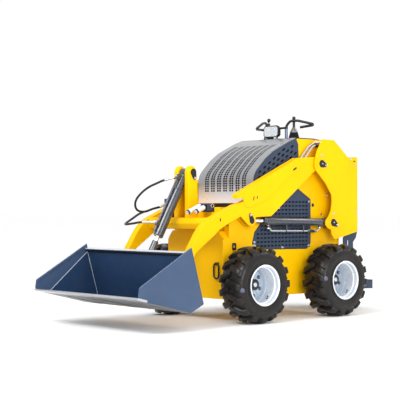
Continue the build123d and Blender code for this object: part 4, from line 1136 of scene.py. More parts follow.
for name, (x, s) in WHEELS.items():
    o = (x, s * TYRE_Y, TYRE_R)
    ax = (0, s, 0)
    centre = Matrix.Translation(o)
    tyre = Piece(name + "_tyre_rubber")
    tyre.add(lathe(CARCASS + CARCASS_IN, o, ax, 96, ring=True), tyre_rubber)
    # moulded rings on the sidewalls
    for side in (1, -1):
        for r, w, h in ((157, 98.4, 2.2), (176, 100.8, 1.5), (196, 99.6, 1.6)):
            tyre.add(lathe([(r - 2.4, side * (w - 2)), (r - 1.2, side * (w + h)), (r + 1.2, side * (w + h)), (r + 2.4, side * (w - 2))], o, ax, 96, ring=True), tyre_rubber)
    for i in range(LUGS):
        for side in (1, -1):
            turn = 2 * math.pi * (i + (0.5 if side < 0 else 0.0)) / LUGS + 0.11 * (1 if x else 0)
            tyre.add(lug(side, turn), tyre_rubber, centre)
        # small tread bar between two shoulder lugs
        for side in (1, -1):
            turn = 2 * math.pi * (i + (0.5 if side < 0 else 0.0) + 0.52) / LUGS + 0.11 * (1 if x else 0)
            d = Vector((math.cos(turn), 0, math.sin(turn)))
            tyre.add(drum(5.0, -3, 3.0, Vector(o) + d * 210 + Vector((0, side * 96.5, 0)), (d * 0.5 + Vector((0, side, 0))).normalized(), 8, 1.5), tyre_rubber)
    tyre.done(name + "_wheel", [name + "_tyre"], angle=30)

    rim = Piece(name + "_rim_steel")
    rim.add(lathe([(128.4, -98), (127.9, -82), (120, -62), (120, 60), (127.9, 80), (128.2, 96), (131, 100), (134.5, 99.5), (135.5, 101.3), (133, 102.9), (128.5, 102.6), (124.5, 100.0),
                   (122.6, 96), (122.2, 76), (120.8, 72), (115.4, 69), (114.4, 66), (114, -58), (122, -80), (122, -96), (124.5, -99)], o, ax, 72, ring=True), rim_paint)
    # dished disc: flat middle with six holes and pressed ribs between them
    hub_holes = [circle((76.0 * math.cos(math.radians(60 * k + 38)), 76.0 * math.sin(math.radians(60 * k + 38))), 7.4, 16) for k in range(6)]
    eu, ev = (Vector((1, 0, 0)), Vector((0, 0, 1))) if s < 0 else (Vector((-1, 0, 0)), Vector((0, 0, 1)))
    base = Vector(o) + Vector((0, s * -31.0, 0))
    rim.add(flat(circle((0, 0), 94, 64), 0.0, 6.0, holes=[circle((0, 0), 34.0, 40)] + hub_holes, bevel=1.0, frame=(base, eu, ev, Vector((0, s, 0)))), disc_paint)
    rim.add(lathe([(92, -31), (98, -29.5), (105, -20), (110, -13), (114.6, -9), (114.6, -3.5), (107.5, -6), (102, -14), (96, -23.5), (92, -25)], o, ax, 72, ring=True), disc_paint)
    for k in range(6):
        a = math.radians(60 * k + 68)
        d = eu * math.cos(a) + ev * math.sin(a)
        e = Vector((0, s, 0))
        rim.add(flat([(42, -2), (90, -2), (90, 2.4), (74, 4.0), (52, 2.6)], -4.5, 4.5, bevel=1.2, frame=(Vector(o) + e * -24.6, d, e, d.cross(e))), disc_paint)
        # a stud and nut in its own seat, with a dark washer
        q = base + (eu * math.cos(a - 0.5236) + ev * math.sin(a - 0.5236)) * 76
        rim.add(drum(12.6, 5.6, 7.6, q, e, 28, 0.8), black_paint)
        rim.add(hexagon(19, 7.4, 18.0, q, e, 0.3 * k), nut_blue)
        rim.add(drum(5.0, 17.0, 23.0, q, e, 16, 0.8), pin_steel)
    rim.add(lathe([(0, -33), (37.5, -33), (37.5, 1.5), (36.0, 4.5), (31.0, 6.2), (17.5, 8.2), (16.5, 6.0), (0, 5.6)], o, ax, 48), black_paint)
    rim.add(lathe([(0, 5.0), (15.2, 5.0), (15.2, 7.6), (13.6, 8.8), (5.0, 9.4), (0, 9.5)], o, ax, 32), zinc)
    # valve in the well
    a = math.radians(-52)
    d = (eu * math.cos(a) + ev * math.sin(a))
    vb = Vector(o) + d * 114.5 + Vector((0, s * 46, 0))
    rim.add(drum(8.5, -1.0, 2.0, vb, -d, 20, 0.6), black_plastic)
    rim.add(drum(4.0, 0.0, 24.0, vb, (-d * 0.8 + Vector((0, s, 0)) * 0.6).normalized(), 14, 0.8), zinc)
    rim.add(drum(5.0, 18.0, 27.0, vb, (-d * 0.8 + Vector((0, s, 0)) * 0.6).normalized(), 14, 1.0), black_plastic)
    rim.done(name + "_wheel", [name + "_rim"])

    # a blank paint dot on the shoulder, as the tyres carry
    dot = Piece(name + "_tyre_dot")
    a = math.radians(0 if s > 0 else 180) + (0.10 if x else -0.12)
    d = Vector((math.cos(a), 0, math.sin(a)))
    nn = (d * 0.50 + Vector((0, s * 0.87, 0))).normalized()
    dot.add(lathe([(0, -1.5), (16.0, -1.5), (15.5, 0.9), (14.0, 1.5), (0, 1.7)], Vector(o) + d * 206 + Vector((0, s * 97.0, 0)), nn, 28), dot_label)
    dot.done(name + "_wheel")

p = Piece("wheel_motor_set")
for x, s in WHEELS.values():
    c = (x, s * CHASSIS_HALF, TYRE_R)
    p.add(drum(74.5, 2.5, 10, c, (0, s, 0), 48, 1.5), cast)
    p.add(lathe([(0, 9), (62, 9), (60, 14), (54.5, 17), (54.5, 60), (50, 64), (50, 80), (54, 84), (54, 100), (46, 108), (0, 108)], c, (0, s, 0), 48), cast)
    p.add(drum(19.8, 106, 157, c, (0, s, 0), 32, 1.5), pin_steel)
    for k in range(6):
        a = math.radians(60 * k + 15)
        p.bolt((x + 66 * math.cos(a), s * (CHASSIS_HALF + 10), TYRE_R + 66 * math.sin(a)), (0, s, 0), 10.0, washer=False)
p.done("chassis", ["wheel_motors"])

# ---------------------------------------------------------------------------
# Lift arms: two plates and a core each, gusset, cross member, ears
# ---------------------------------------------------------------------------
ARM_OUTLINE = [
    (498, 262), (494, 340), (478, 412), (434, 472), (400, 497), (313, 556), (269, 586), (225, 621), (136, 664), (36, 704),
    (-22, 655), (-42, 643), (-64, 638), (-88, 645), (-102, 662), (-100, 700), (-249, 704), (-681, 1018),
    (-716, 1030), (-736, 1024), (-775, 1040), (-790, 1074), (-776, 1108), (-740, 1124), (-620, 1116), (-512, 1098), (68, 838), (68, 822),
    (-26, 829), (-34, 817), (37, 794), (85, 781), (130, 762), (176, 748), (225, 725), (296, 696), (323, 682), (372, 642), (410, 596),
    (440, 550), (484, 484), (532, 405), (556, 330), (562, 262), (553, 239), (530, 230), (507, 239),
]
# plates follow the outline with the pointed end of the upper run added
PLATE = ARM_OUTLINE[:25] + [(-512, 1109.5), (67.5, 849.5), (67.5, 822.5)] + ARM_OUTLINE[28:]
CORE = ARM_OUTLINE[:10] + [(0, 712), (0, 722), (-100, 722), (-360, 798), (-360, 785)] + ARM_OUTLINE[17:25] + [(-512, 1108), (66, 848), (66, 824)] + ARM_OUTLINE[28:]
GUSSET = [(-498, 1094), (8, 867), (15, 822), (3, 774), (-20, 764), (-55, 768), (-216, 827), (-540, 1058), (-548, 1086)]
COLLARS = ((ARM_PIVOT, 25.0, 40.0), (BUCKET_PIVOT, 15.0, 27.0), (LIFT_EYE, 15.0, 27.0))
p = Piece("lift_arm_plates")
pivot_holes = [circle(c, r + 0.1, 32) for c, r, _ in COLLARS]
soft = rounded(PLATE, 9, 3, only=set(range(len(PLATE))) - {9, 25, 26, 27, 28, 29})
for s in (1, -1):
    p.add(flat(soft, s * ARM_IN, s * (ARM_IN + 10), "side", 1.6, pivot_holes), yellow)
    p.add(flat(soft, s * (ARM_OUT - 10), s * ARM_OUT, "side", 1.6, pivot_holes), yellow)
    core = inset(CORE if area2(CORE) > 0 else CORE[::-1], 2.6)
    p.add(flat(core, s * (ARM_IN + 9.5), s * (ARM_OUT - 9.5), "side", 0.6, [circle(c, r + 0.1, 32) for c, r, _ in COLLARS[:2]]), yellow)
    # gusset lapped over the joint of the two runs, welded round
    p.add(flat(rounded(GUSSET, 8, 3), s * (ARM_OUT - 1.0), s * (ARM_OUT + 5.0), "side", 1.2), yellow)
    y = s * (ARM_OUT + 0.6)
    ring_ = rounded(GUSSET, 8, 3)
    weld(p, [(a, y, b) for a, b in ring_[2:]], 1.7, yellow, 6)
    # seam of the elbow plate, and a thin black slot shape on it: painted shade of a small slotted hole
    weld(p, [(38, s * ARM_OUT, 706), (105, s * ARM_OUT, 760)], 1.6, yellow, 2)
    p.add(flat(slot_loop((222, 684), 24, 11, math.radians(84)), s * (ARM_OUT - 0.4), s * (ARM_OUT + 0.4), "side", 0.1), black_paint)
    for c, r, big in COLLARS[1:]:
        p.add(drum(big, 0.0, 2.6, (c[0], s * (ARM_OUT - 0.3), c[1]), (0, s, 0), 40, 0.9, bore=r + 0.1), yellow)
    p.add(drum(33.5, 0.0, 1.6, (ARM_PIVOT[0], s * (ARM_OUT - 0.2), ARM_PIVOT[1]), (0, s, 0), 48, 0.6, bore=25.1), pin_steel)
    # thin black slot shapes near the tower: painted shade of a slotted window and two small slots
    p.add(flat(slot_loop((-478, 1032), 42, 13, math.radians(-29)), s * (ARM_OUT + 4.6), s * (ARM_OUT + 5.3), "side", 0.2), black_paint)
    for c, L in (((-79, 825), 30), ((-111, 832), 22)):
        p.add(flat(slot_loop(c, L, 9, math.radians(104)), s * (ARM_OUT + 4.6), s * (ARM_OUT + 5.3), "side", 0.2), black_paint)
p.done("lift_arm", ["lift_arms"])

EAR_IN, EAR_OUT = 34.0, 76.0
EAR = [(178, 690), (178, 815), (186, 950), (188, 990), (195, 1018), (208, 1038), (226, 1046), (243, 1040), (256, 1022), (262, 1000),
       (262, 815), (262, 690)]
p = Piece("cross_member")
p.add(flat(rounded([(165, 630), (165, 697), (300, 697), (320, 660), (300, 620)], 9, 4), -ARM_IN, ARM_IN, "side", 1.2), yellow)
for s in (1, -1):
    p.add(flat(rounded(EAR, 8, 3, only=(2, 3, 4, 5, 6, 7, 8, 9)), s * EAR_IN, s * EAR_OUT, "side", 3.0, [circle(TILT_TOP, 15.1, 32)]), yellow)
    for y in (EAR_IN, EAR_OUT):
        weld(p, [(180, s * y, 698), (260, s * y, 698)], 2.6, yellow, y)
    weld(p, [(290, s * (ARM_IN - 1), 698), (168, s * (ARM_IN - 1), 698), (168, s * (ARM_IN - 1), 634)], 2.6, yellow, 4)
    p.add(drum(27, 0.0, 3.6, (TILT_TOP[0], s * (EAR_OUT - 0.4), TILT_TOP[1]), (0, s, 0), 40, 0.9, bore=15.1), yellow)
    # a low upstand behind each ear, higher near the arm
    p.add(flat([(s * 75, 690), (s * 289.5, 690), (s * 289.5, 766), (s * 240, 766), (s * 240, 735), (s * 75, 735)], 165.5, 178.5, "front", 1.2), yellow)
    weld(p, [(179, s * 78, 698), (179, s * 287, 698)], 2.4, yellow, 6)
p.add(flat([(178.5, 690), (178.5, 815), (185.5, 929), (194.5, 929), (189.5, 815), (189.5, 690)], -EAR_IN, EAR_IN, "side", 1.0), yellow)
p.done("lift_arm", ["arm_crossbar"])

p = Piece("arm_pin_set")
for s in (1, -1):
    p.add(drum(14.95, 0, ARM_OUT + 30 - (ARM_IN - 30), (BUCKET_PIVOT[0], s * (ARM_IN - 30), BUCKET_PIVOT[1]), (0, s, 0), 40, 1.6), pin_steel)
    p.add(drum(23.9, 0, 10, (BUCKET_PIVOT[0], s * (ARM_OUT + 20), BUCKET_PIVOT[1]), (0, s, 0), 40, 1.6), pin_steel)
    p.add(drum(14.95, 0, 10, (LIFT_EYE[0], s * ARM_IN, LIFT_EYE[1]), (0, s, 0), 40, 1.2), pin_steel)
    p.add(drum(14.95, 0, 13.5, (LIFT_EYE[0], s * (ARM_OUT - 10), LIFT_EYE[1]), (0, s, 0), 40, 1.2), pin_steel)
    p.add(drum(4.6, 0, 5.0, (BUCKET_PIVOT[0], s * (ARM_OUT + 30) - s * 5.2, BUCKET_PIVOT[1]), (0, s, 0), 14, 0.8), zinc)
    keeper(p, LIFT_EYE, ARM_OUT + 2.0, s, math.radians(68), 22, 40, black_paint, 2.8)
p.add(drum(14.95, 0, 2 * EAR_OUT + 7, (TILT_TOP[0], -EAR_OUT - 3.5, TILT_TOP[1]), (0, 1, 0), 40, 1.2), pin_steel)
for s in (1, -1):
    keeper(p, TILT_TOP, EAR_OUT + 3.0, s, math.radians(-106), 25, 42, black_paint, 4.0)
p.done("lift_arm", ["arm_pins"])

# Quick couplers and their standing plate
COUPLER_DIR = Vector((0.9205, 0, -0.3907))
COUPLERS = [((343, 156, 730), 121.0), ((303, 196, 735), 77.6)]
p = Piece("coupler_plate")
p.add(slab(221.4, 230.6, 132.4, 215.6, 741, 790.6, 1.6, r=4), panel_paint)
p.add(slab(146.4, 230.6, 208.4, 215.6, 736, 790.6, 1.6, holes=[circle((173, 776), 9, 28)], r=5), panel_paint)
p.add(slab(146.4, 230.6, 132.4, 215.6, 735.4, 742.6, 1.4), panel_paint)
p.add(lathe([(9.2, -1.0), (13.5, -1.0), (14.2, 0.4), (13.2, 1.0), (10.2, 1.0), (9.2, 0.2)], (173, 215.4, 776), (0, 1, 0), 32, ring=True), zinc)
for y, x in ((150, 160), (190, 160)):
    p.bolt((x, y, 742.6), (0, 0, 1), 9.0, washer=False)
weld(p, [(150, 214, 735.5), (226, 214, 735.5)], 1.0, panel_paint, 1)
p.done("lift_arm", ["coupler_bracket"])

p = Piece("coupler_pair")
for tip, reach in COUPLERS:
    o = Vector(tip)
    L = reach
    body = 16.3 if L < 100 else 15.4
    p.add(lathe([(10.5, 0), (13.2, 0), (15.4, -2), (15.9, -5), (15.9, -14), (13.8, -16), (13.8, -20), (16.1, -22), (16.1, -42), (14.4, -44), (14.4, -48),
                 (body, -50), (body, -L + 2), (body - 1.5, -L), (0, -L), (0, -21.5), (10.5, -21.5)], o, COUPLER_DIR, 44), coupler_plate_finish)
    for k in range(10):
        t = -23.0 - 1.85 * k
        p.add(lathe([(15.2, t), (16.2, t - 0.5), (16.2, t - 1.0), (15.2, t - 1.5)], o, COUPLER_DIR, 36, ring=True), coupler_plate_finish)
    if L > 100:
        p.add(hexagon(28, -66, -54, o, COUPLER_DIR), coupler_plate_finish)
    # dark dust plug in the mouth and a dark rim round it
    p.add(lathe([(0, -21), (7.6, -21), (7.6, -14), (4.6, -9), (0, -8)], o, COUPLER_DIR, 24), black_plastic)
    p.add(lathe([(10.6, 0.0), (14.6, -0.4), (16.3, -3.0), (16.4, -12.5), (15.6, -14.0), (14.6, -13.4), (14.6, -4.0), (11.2, -0.8)], o, COUPLER_DIR, 44, ring=True), black_plastic)
p.done("lift_arm", ["couplers"])

# ---------------------------------------------------------------------------
# Hoses of the tilt cylinder: one smooth spline each, on the CAD's route
# ---------------------------------------------------------------------------
HOSE_ROUTES = {
    "tilt_hose_upper": [(344, -40, 956), (374, -54, 948), (424, -64, 926), (486, -62, 905), (546, -66, 868), (570, -100, 821), (555, -134, 778),
                        (505, -168, 740), (425, -177, 735), (373, -175, 756), (323, -162, 766), (292, -166, 776)],
    "tilt_hose_lower": [(545, -30, 669), (582, -44, 669), (611, -73, 661), (623, -116, 656), (613, -163, 652), (575, -207, 660), (503, -233, 687),
                        (436, -227, 728), (377, -212, 744), (331, -203, 760), (290, -198, 768), (262, -200, 778)],
}
PORT_REACH = {"tilt_hose_upper": 66.0, "tilt_hose_lower": 84.0}
MANIFOLD_REACH = {"tilt_hose_upper": 74.0, "tilt_hose_lower": 42.0}


def fitting(piece, end, towards, reach, gap=0.0):
    """A swaged ferrule and hex nut behind a hose's end."""
    e, t = Vector(end), Vector(towards)
    d = (e - t).normalized()          # from the hose into the fitting
    piece.add(lathe([(0, gap), (7.2, gap), (7.9, gap + 2), (7.9, reach - 22), (6.8, reach - 20), (6.8, reach), (0, reach)], e, d, 32), zinc)
    piece.add(hexagon(20.5, reach - 26, reach - 10, e, d), zinc)
    piece.add(hexagon(17.5, reach - 9, reach - 1, e, d), zinc)
    return piece


for name, route in HOSE_ROUTES.items():
    cu = bpy.data.curves.new(name + "_line", "CURVE")
    cu.dimensions = "3D"
    cu.bevel_depth = 0.0075
    cu.bevel_resolution = 5
    cu.resolution_u = 24
    cu.use_fill_caps = True
    sp = cu.splines.new("NURBS")
    sp.points.add(len(route) - 1)
    for q, pt in zip(sp.points, route):
        q.co = (*mm(pt), 1.0)
    sp.order_u = 3
    sp.use_endpoint_u = True
    cu.materials.append(hose_rubber)
    ob = bpy.data.objects.new(name + "_line", cu)
    bpy.context.scene.collection.objects.link(ob)
    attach(ob, "lift_arm")
    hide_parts(name)
    # swaged sleeves over both ends of the hose
    sleeves = Piece(name + "_sleeves")
    for end, nxt in ((route[0], route[1]), (route[-1], route[-2])):
        e, t = Vector(end), Vector(nxt)
        d = (t - e).normalized()
        prof = [(7.3, 0.6), (9.6, 0.6)]
        for k in range(5):
            prof += [(9.6, 2.0 + 4.6 * k), (8.9, 3.0 + 4.6 * k), (8.9, 4.2 + 4.6 * k), (9.6, 5.2 + 4.6 * k)]
        prof += [(9.4, 26.0), (8.2, 27.4), (7.3, 27.4)]
        sleeves.add(lathe(prof, e, d, 32, ring=True), zinc)
    band = sleeves.done("lift_arm")

p = Piece("manifold_block")
p.add(slab(190, 226, -224, -152, 697.4, 826, 2.4), panel_paint)
for name, reach in MANIFOLD_REACH.items():
    fitting(p, HOSE_ROUTES[name][-1], HOSE_ROUTES[name][-2], reach, 0.6)
for z in (716, 806):
    p.bolt((226, -188, z), (1, 0, 0), 10.0, washer=False)
p.done("lift_arm", ["hose_manifold"])

ARM_TUBES = [[(-800, 1229), (-735, 1228), (-668, 1192), (-626, 1149), (-578, 1099)],
             [(-770, 1203), (-703, 1202), (-650, 1150), (-612, 1106)]]
p = Piece("arm_feed_tubes")
for s in (1, -1):
    for k, line in enumerate(ARM_TUBES):
        y = s * (300 + 18 * k)
        pts_ = bend([(a, y, b) for a, b in line], 50.0, 7)
        p.add(pipe(pts_, 7.9, 20), zinc)
        first = (line[0][0], y, line[0][1])
        if k:
            p.add(lathe([(8.0, 2), (11.6, 2), (12.4, 5), (12.4, 50), (11.0, 54), (8.0, 55)], first, (Vector((-703, 0, 1202)) - Vector((-770, 0, 1203))).normalized(), 28, ring=True), black_plastic)
        p.add(hexagon(20.5, 2, 18, first, (-1, 0, 0)), zinc)
        p.add(lathe([(0, 16), (10.6, 16), (11.4, 18), (11.4, 25), (10, 26), (0, 26)], first, (-1, 0, 0), 28), black_plastic)
        p.add(drum(9.8, -2, 4, first, (-1, 0, 0), 28, 1.0), zinc)
p.done("lift_arm", ["arm_tubes"])

# ---------------------------------------------------------------------------
# Cylinders
# ---------------------------------------------------------------------------
LIFT_LEN = math.hypot(LIFT_EYE[0] - LIFT_BASE[0], LIFT_EYE[1] - LIFT_BASE[1])
lift_dir = Vector(((LIFT_EYE[0] - LIFT_BASE[0]) / LIFT_LEN, 0, (LIFT_EYE[1] - LIFT_BASE[1]) / LIFT_LEN))
for name, s in (("left", 1), ("right", -1)):
    base = Vector((LIFT_BASE[0], s * BARREL_Y, LIFT_BASE[1]))
    p = Piece(name + "_lift_cylinder")
    p.add(lathe([(15.3, 70), (24, 70), (27, 64), (27.9, 58), (27.9, 640), (27.2, 642), (27.2, 646), (27.9, 648), (27.9, 662), (25.5, 664.6), (16.5, 664.6), (15.3, 662)], base, lift_dir, 56, ring=True), cylinder_paint)
    p.add(lathe([(0, 36), (24, 36), (27.9, 44), (27.9, 66), (24, 70), (0, 70)], base, lift_dir, 48), cylinder_paint)
    p.add(drum(41.9, -24.5, 24.5, base, (0, 1, 0), 56, 2.2, bore=25.15), cylinder_paint)
    p.add(lathe([(27.0, 58.5), (29.0, 60.2), (29.4, 62), (29.0, 63.8), (27.0, 65.5)], base, lift_dir, 48, ring=True), cylinder_paint)
    feed = bend([(-246, s * BARREL_Y, 650), (-246, s * BARREL_Y, 636), (-275, s * BARREL_Y, 604), (-730, s * BARREL_Y, 596), (-762, s * BARREL_Y, 616), (-762, s * BARREL_Y, 640)], 24.0, 6)
    p.add(pipe(feed, 6.9, 16), tube_steel)
    q0, q1 = Vector((-640, s * BARREL_Y, 597.6)), Vector((-722, s * BARREL_Y, 596.2))
    along_ = (q1 - q0).normalized()
    p.add(lathe([(0, 0), (9.6, 0), (10.2, 2), (10.2, 14), (8.6, 15.5), (8.6, 18), (10.4, 20), (10.4, 62), (8.6, 64), (8.6, 67), (10.2, 69), (10.2, 81), (0, 82)], q0, along_, 32), black_plastic)
    p.add(hexagon(19.5, 1, 12, q0, along_), zinc)
    p.add(hexagon(19.5, 66, 80, q0, along_), zinc)
    for xx in (-246, -762):
        p.add(drum(11.5, 0, 14, (xx, s * BARREL_Y, 624), (0, 0, 1), 24, 1.4), cylinder_paint)
        p.add(hexagon(19.5, -6, 4, (xx, s * BARREL_Y, 624), (0, 0, 1)), zinc)
    for xx in (-420, -590):
        zc = 656 + (xx + 860) * (20 / 796)
        zt = 604 - (xx + 275) * (8 / -455) if xx < -275 else 604
        p.add(slab(xx - 6, xx + 6, s * (BARREL_Y - 9), s * (BARREL_Y + 9), 596, zc - 24, 1.4), cylinder_paint)
    # a grease nipple on the base eye
    p.add(lathe([(0, 40), (4.5, 40), (4.5, 44.5), (2.6, 45.5), (2.6, 48), (0, 48)], base, (-0.5, 0, 0.866), 14), zinc)
    p.done(name + "_lift_barrel_body", [name + "_lift_barrel"], angle=28)

    p = Piece(name + "_lift_piston_rod")
    p.add(lathe([(0, 122), (13.5, 122), (14.95, 124), (14.95, LIFT_LEN - 22), (0, LIFT_LEN - 22)], base, lift_dir, 48), chrome)
    eye = Vector((LIFT_EYE[0], s * BARREL_Y, LIFT_EYE[1]))
    p.add(drum(26.9, -13.8, 13.8, eye, (0, 1, 0), 48, 1.8, bore=15.3), cylinder_paint)
    p.add(lathe([(15.0, LIFT_LEN - 46), (19.5, LIFT_LEN - 44), (21.5, LIFT_LEN - 38), (21.5, LIFT_LEN - 25), (15.0, LIFT_LEN - 24)], base, lift_dir, 40, ring=True), cylinder_paint)
    p.done(name + "_lift_rod_body", [name + "_lift_rod"], angle=28)

TILT_LEN = math.hypot(TILT_EYE[0] - TILT_TOP[0], TILT_EYE[1] - TILT_TOP[1])
tilt_dir = Vector(((TILT_EYE[0] - TILT_TOP[0]) / TILT_LEN, 0, (TILT_EYE[1] - TILT_TOP[1]) / TILT_LEN))
tilt_front = Vector((-tilt_dir.z, 0, tilt_dir.x))
top = Vector((TILT_TOP[0], 0, TILT_TOP[1]))
p = Piece("tilt_cylinder")
p.add(lathe([(14.4, 56), (24, 56), (27.5, 50), (28.9, 44), (28.9, 137), (31.5, 140.6), (33.9, 142.5), (33.9, 470), (32.8, 472), (32.8, 476), (33.9, 478), (33.9, 488), (31.0, 491.8), (15.6, 491.8), (14.4, 490)], top, tilt_dir, 60, ring=True), cylinder_paint)
p.add(lathe([(0, 20), (23, 20), (28.9, 28), (28.9, 50), (24, 56), (0, 56)], top, tilt_dir, 48), cylinder_paint)
p.add(drum(28.9, -29.5, 29.5, top, (0, 1, 0), 48, 2.0, bore=15.15), cylinder_paint)
p.add(lathe([(28.0, 40), (30.0, 42), (30.0, 46), (28.0, 48)], top, tilt_dir, 48, ring=True), cylinder_paint)
p.done("tilt_barrel_body", ["tilt_barrel"], angle=28)

p = Piece("tilt_piston_rod")
p.add(lathe([(0, 112), (12.6, 112), (13.9, 114), (13.9, TILT_LEN - 24), (0, TILT_LEN - 24)], top, tilt_dir, 48), chrome)
p.add(lathe([(13.9, 530), (19.0, 530), (21.9, 534), (21.9, TILT_LEN - 30), (20, TILT_LEN - 22), (13.9, TILT_LEN - 22)], top, tilt_dir, 44, ring=True), cylinder_paint)
p.add(drum(27.9, -23.6, 23.6, (TILT_EYE[0], 0, TILT_EYE[1]), (0, 1, 0), 48, 2.0, bore=15.3), cylinder_paint)
p.done("tilt_rod_body", ["tilt_rod"], angle=28)

p = Piece("tilt_port_set")
for d in (60, 420):
    c = top + tilt_dir * d + tilt_front * 43
    p.add(flat(rounded([(-14, -17), (14, -17), (14, 17), (-14, 17)], 4, 3), -14, 14, bevel=1.8, frame=(c, tilt_front, tilt_dir, Vector((0, 1, 0)))), cylinder_paint)
    p.add(hexagon(15, 12, 20, c, tilt_front), zinc)
p.add(drum(7.9, 74, 477.8, top + tilt_front * 44, tilt_dir, 28, 1.2), cylinder_paint)
for d in (200, 320):
    c = top + tilt_dir * d + tilt_front * 39
    p.add(flat(rounded([(-5, -7), (8, -7), (8, 7), (-5, 7)], 2, 2), -11, 11, bevel=1.4, frame=(c, tilt_front, tilt_dir, Vector((0, 1, 0)))), cylinder_paint)
for name, reach in PORT_REACH.items():
    fitting(p, HOSE_ROUTES[name][0], HOSE_ROUTES[name][1], reach, 1.8)
p.done("tilt_barrel_body", ["tilt_ports"], angle=28)

# ---------------------------------------------------------------------------
# Bucket
# ---------------------------------------------------------------------------
BUCKET_SIDE = [(649, 519), (1059, 289), (1071, 217), (654, 116), (549, 164)]
EDGE_OUTLINE = [(1075, 218), (1000, 199.8), (999, 206.2), (997, 214), (1073, 232)]


def back_x(z):
    return 549 + (z - 164) * 100 / 355


p = Piece("bucket_body")
w = BUCKET_HALF - 6
for s in (1, -1):
    side = [(649, 519), (1059, 289), (1066, 246), (1066, 231), (1000, 215), (997.5, 203.5), (995, 199), (654, 116), (549, 164)]
    p.add(flat(rounded(side, 10, 3, only=(1, 7, 8)), s * w, s * BUCKET_HALF, "side", 1.3), bucket_paint)
    # stiffening bar along the sloping top edge
    p.add(flat(rounded([(652, 516), (1052, 291), (1056, 283), (1050, 279), (652, 502)], 3, 2), s * (w - 5), s * (w + 0.5), "side", 1.2), bucket_paint)
    # the plate's upper edge, rubbed to bright metal
    p.add(flat([(650.2, 517.4), (1057.6, 288.9), (1056.8, 287.0), (650.6, 514.9)], s * (w + 0.2), s * (BUCKET_HALF - 0.1), "side", 0.3), worn_edge)
    weld(p, [(655, s * (w - 1), 122.5), (995, s * (w - 1), 205)], 2.4, bucket_paint, 4)
    weld(p, [(558, s * (w - 1), 172), (653, s * (w - 1), 506)], 2.4, bucket_paint, 5)
shell = [(999.5, 199.9), (654, 116.3), (549.5, 164), (641.8, 492.4), (648.4, 490.4), (556, 168.3), (655, 122.8), (998.8, 206)]
# the inside of the shell in the darker bucket paint: painted shade
p.add(flat(shell, -w, w, "side", 0.8), bucket_inside_shaded)
# folded lip of the back plate, worn bright along its top
lip = rounded([(641.8, 487), (642.6, 492.7), (666.6, 486.3), (665.2, 480.6), (646.5, 485.2)], 1.6, 2)
p.add(flat(lip, -w, w, "side", 0.5), worn_edge)
# a black strip under the lip: painted shadow of the fold
p.add(flat([(646.5, 484.5), (664.6, 480.0), (663.0, 474.4), (656.6, 476.0), (655.4, 471.0), (643.0, 461.0)], -w, w, "side", 0.5), black_paint)
# outer face of the back, painted like the sides, and of the floor, scraped to bare metal in streaks
p.add(flat([(556.0, 160.8), (549.2, 163.8), (640.9, 489.6), (643.2, 489.2), (551.4, 165.2), (557.0, 162.8)], -w - 0.4, w + 0.4, "side", 0.4), bucket_paint)
p.add(flat([(999.2, 199.1), (654.2, 115.6), (556.0, 160.3), (557.2, 162.6), (655.2, 118.0), (998.8, 201.2)], -w - 0.4, w + 0.4, "side", 0.3), scraped_floor)
# bright seams inside: back to side, side to floor, and the edge of each side's doubling plate
for s in (1, -1):
    yy = s * (w - 0.4)
    weld(p, [(650, yy, 484), (560, yy, 170)], 2.6, worn_edge, 5)
    weld(p, [(560, yy, 169), (656, yy, 125)], 2.4, worn_edge, 6)
    weld(p, [(656, yy, 124.5), (996, yy, 206.5)], 2.4, worn_edge, 4)
    p.add(flat([(648.6, 458.5), (651.4, 460.6), (961.4, 204.6), (957.0, 203.4)], s * (w - 3.4), s * (w + 0.4), "side", 0.6), worn_edge)
    # the inner doubling plate in the darker bucket paint: painted shade
    p.add(flat([(650.6, 459.6), (960.0, 204.2), (655.5, 127.0), (562, 170.5), (568, 190), (646.0, 455.0)], s * (w - 2.6), s * (w + 0.4), "side", 0.6), bucket_inside_shaded)
weld(p, [(656, -w + 3, 124.5), (656, w - 3, 124.5)], 2.4, worn_edge, 9)
# wear strips under the floor and two stiffeners behind
for y in (-380, 0, 380):
    a, b = Vector((670, 119.8)), Vector((960, 190.2))
    p.add(flat([(672, 117.4), (690, 120.2), (950, 183.2), (960, 189.4), (950, 192), (676, 125)], y - 38, y + 38, "side", 0.8), dull_steel)
for s in (1, -1):
    for y in (160, 470):
        p.add(flat([(back_x(200) + 1, 200), (back_x(490) + 1, 490), (back_x(470) - 15, 462), (back_x(225) - 15, 232)], s * y, s * (y + 10), "side", 1.4), bucket_paint)
p.done("bucket", ["bucket_shell"])

p = Piece("bucket_cutting_edge")
p.add(flat([(1074.6, 218), (1000.4, 199.9), (999.2, 206.2), (998.0, 211.8), (1003, 215.0), (1062, 229.2), (1073.4, 226.0)], -BUCKET_HALF + 0.2, BUCKET_HALF - 0.2, "side", 0.8), edge_steel)
for k in range(7):
    y = -468 + 156 * k
    d_ = Vector((75, 18)).normalized()
    p.add(drum(13, -3.0, 0.5, (1028, y, 219.8), (-0.2334, 0, 0.9724), 28, 0.6), steel)
    p.add(drum(7.0, -1.0, 0.75, (1028, y, 219.9), (-0.2334, 0, 0.9724), 4, 0.2), black_paint)
p.done("bucket", ["cutting_edge"])

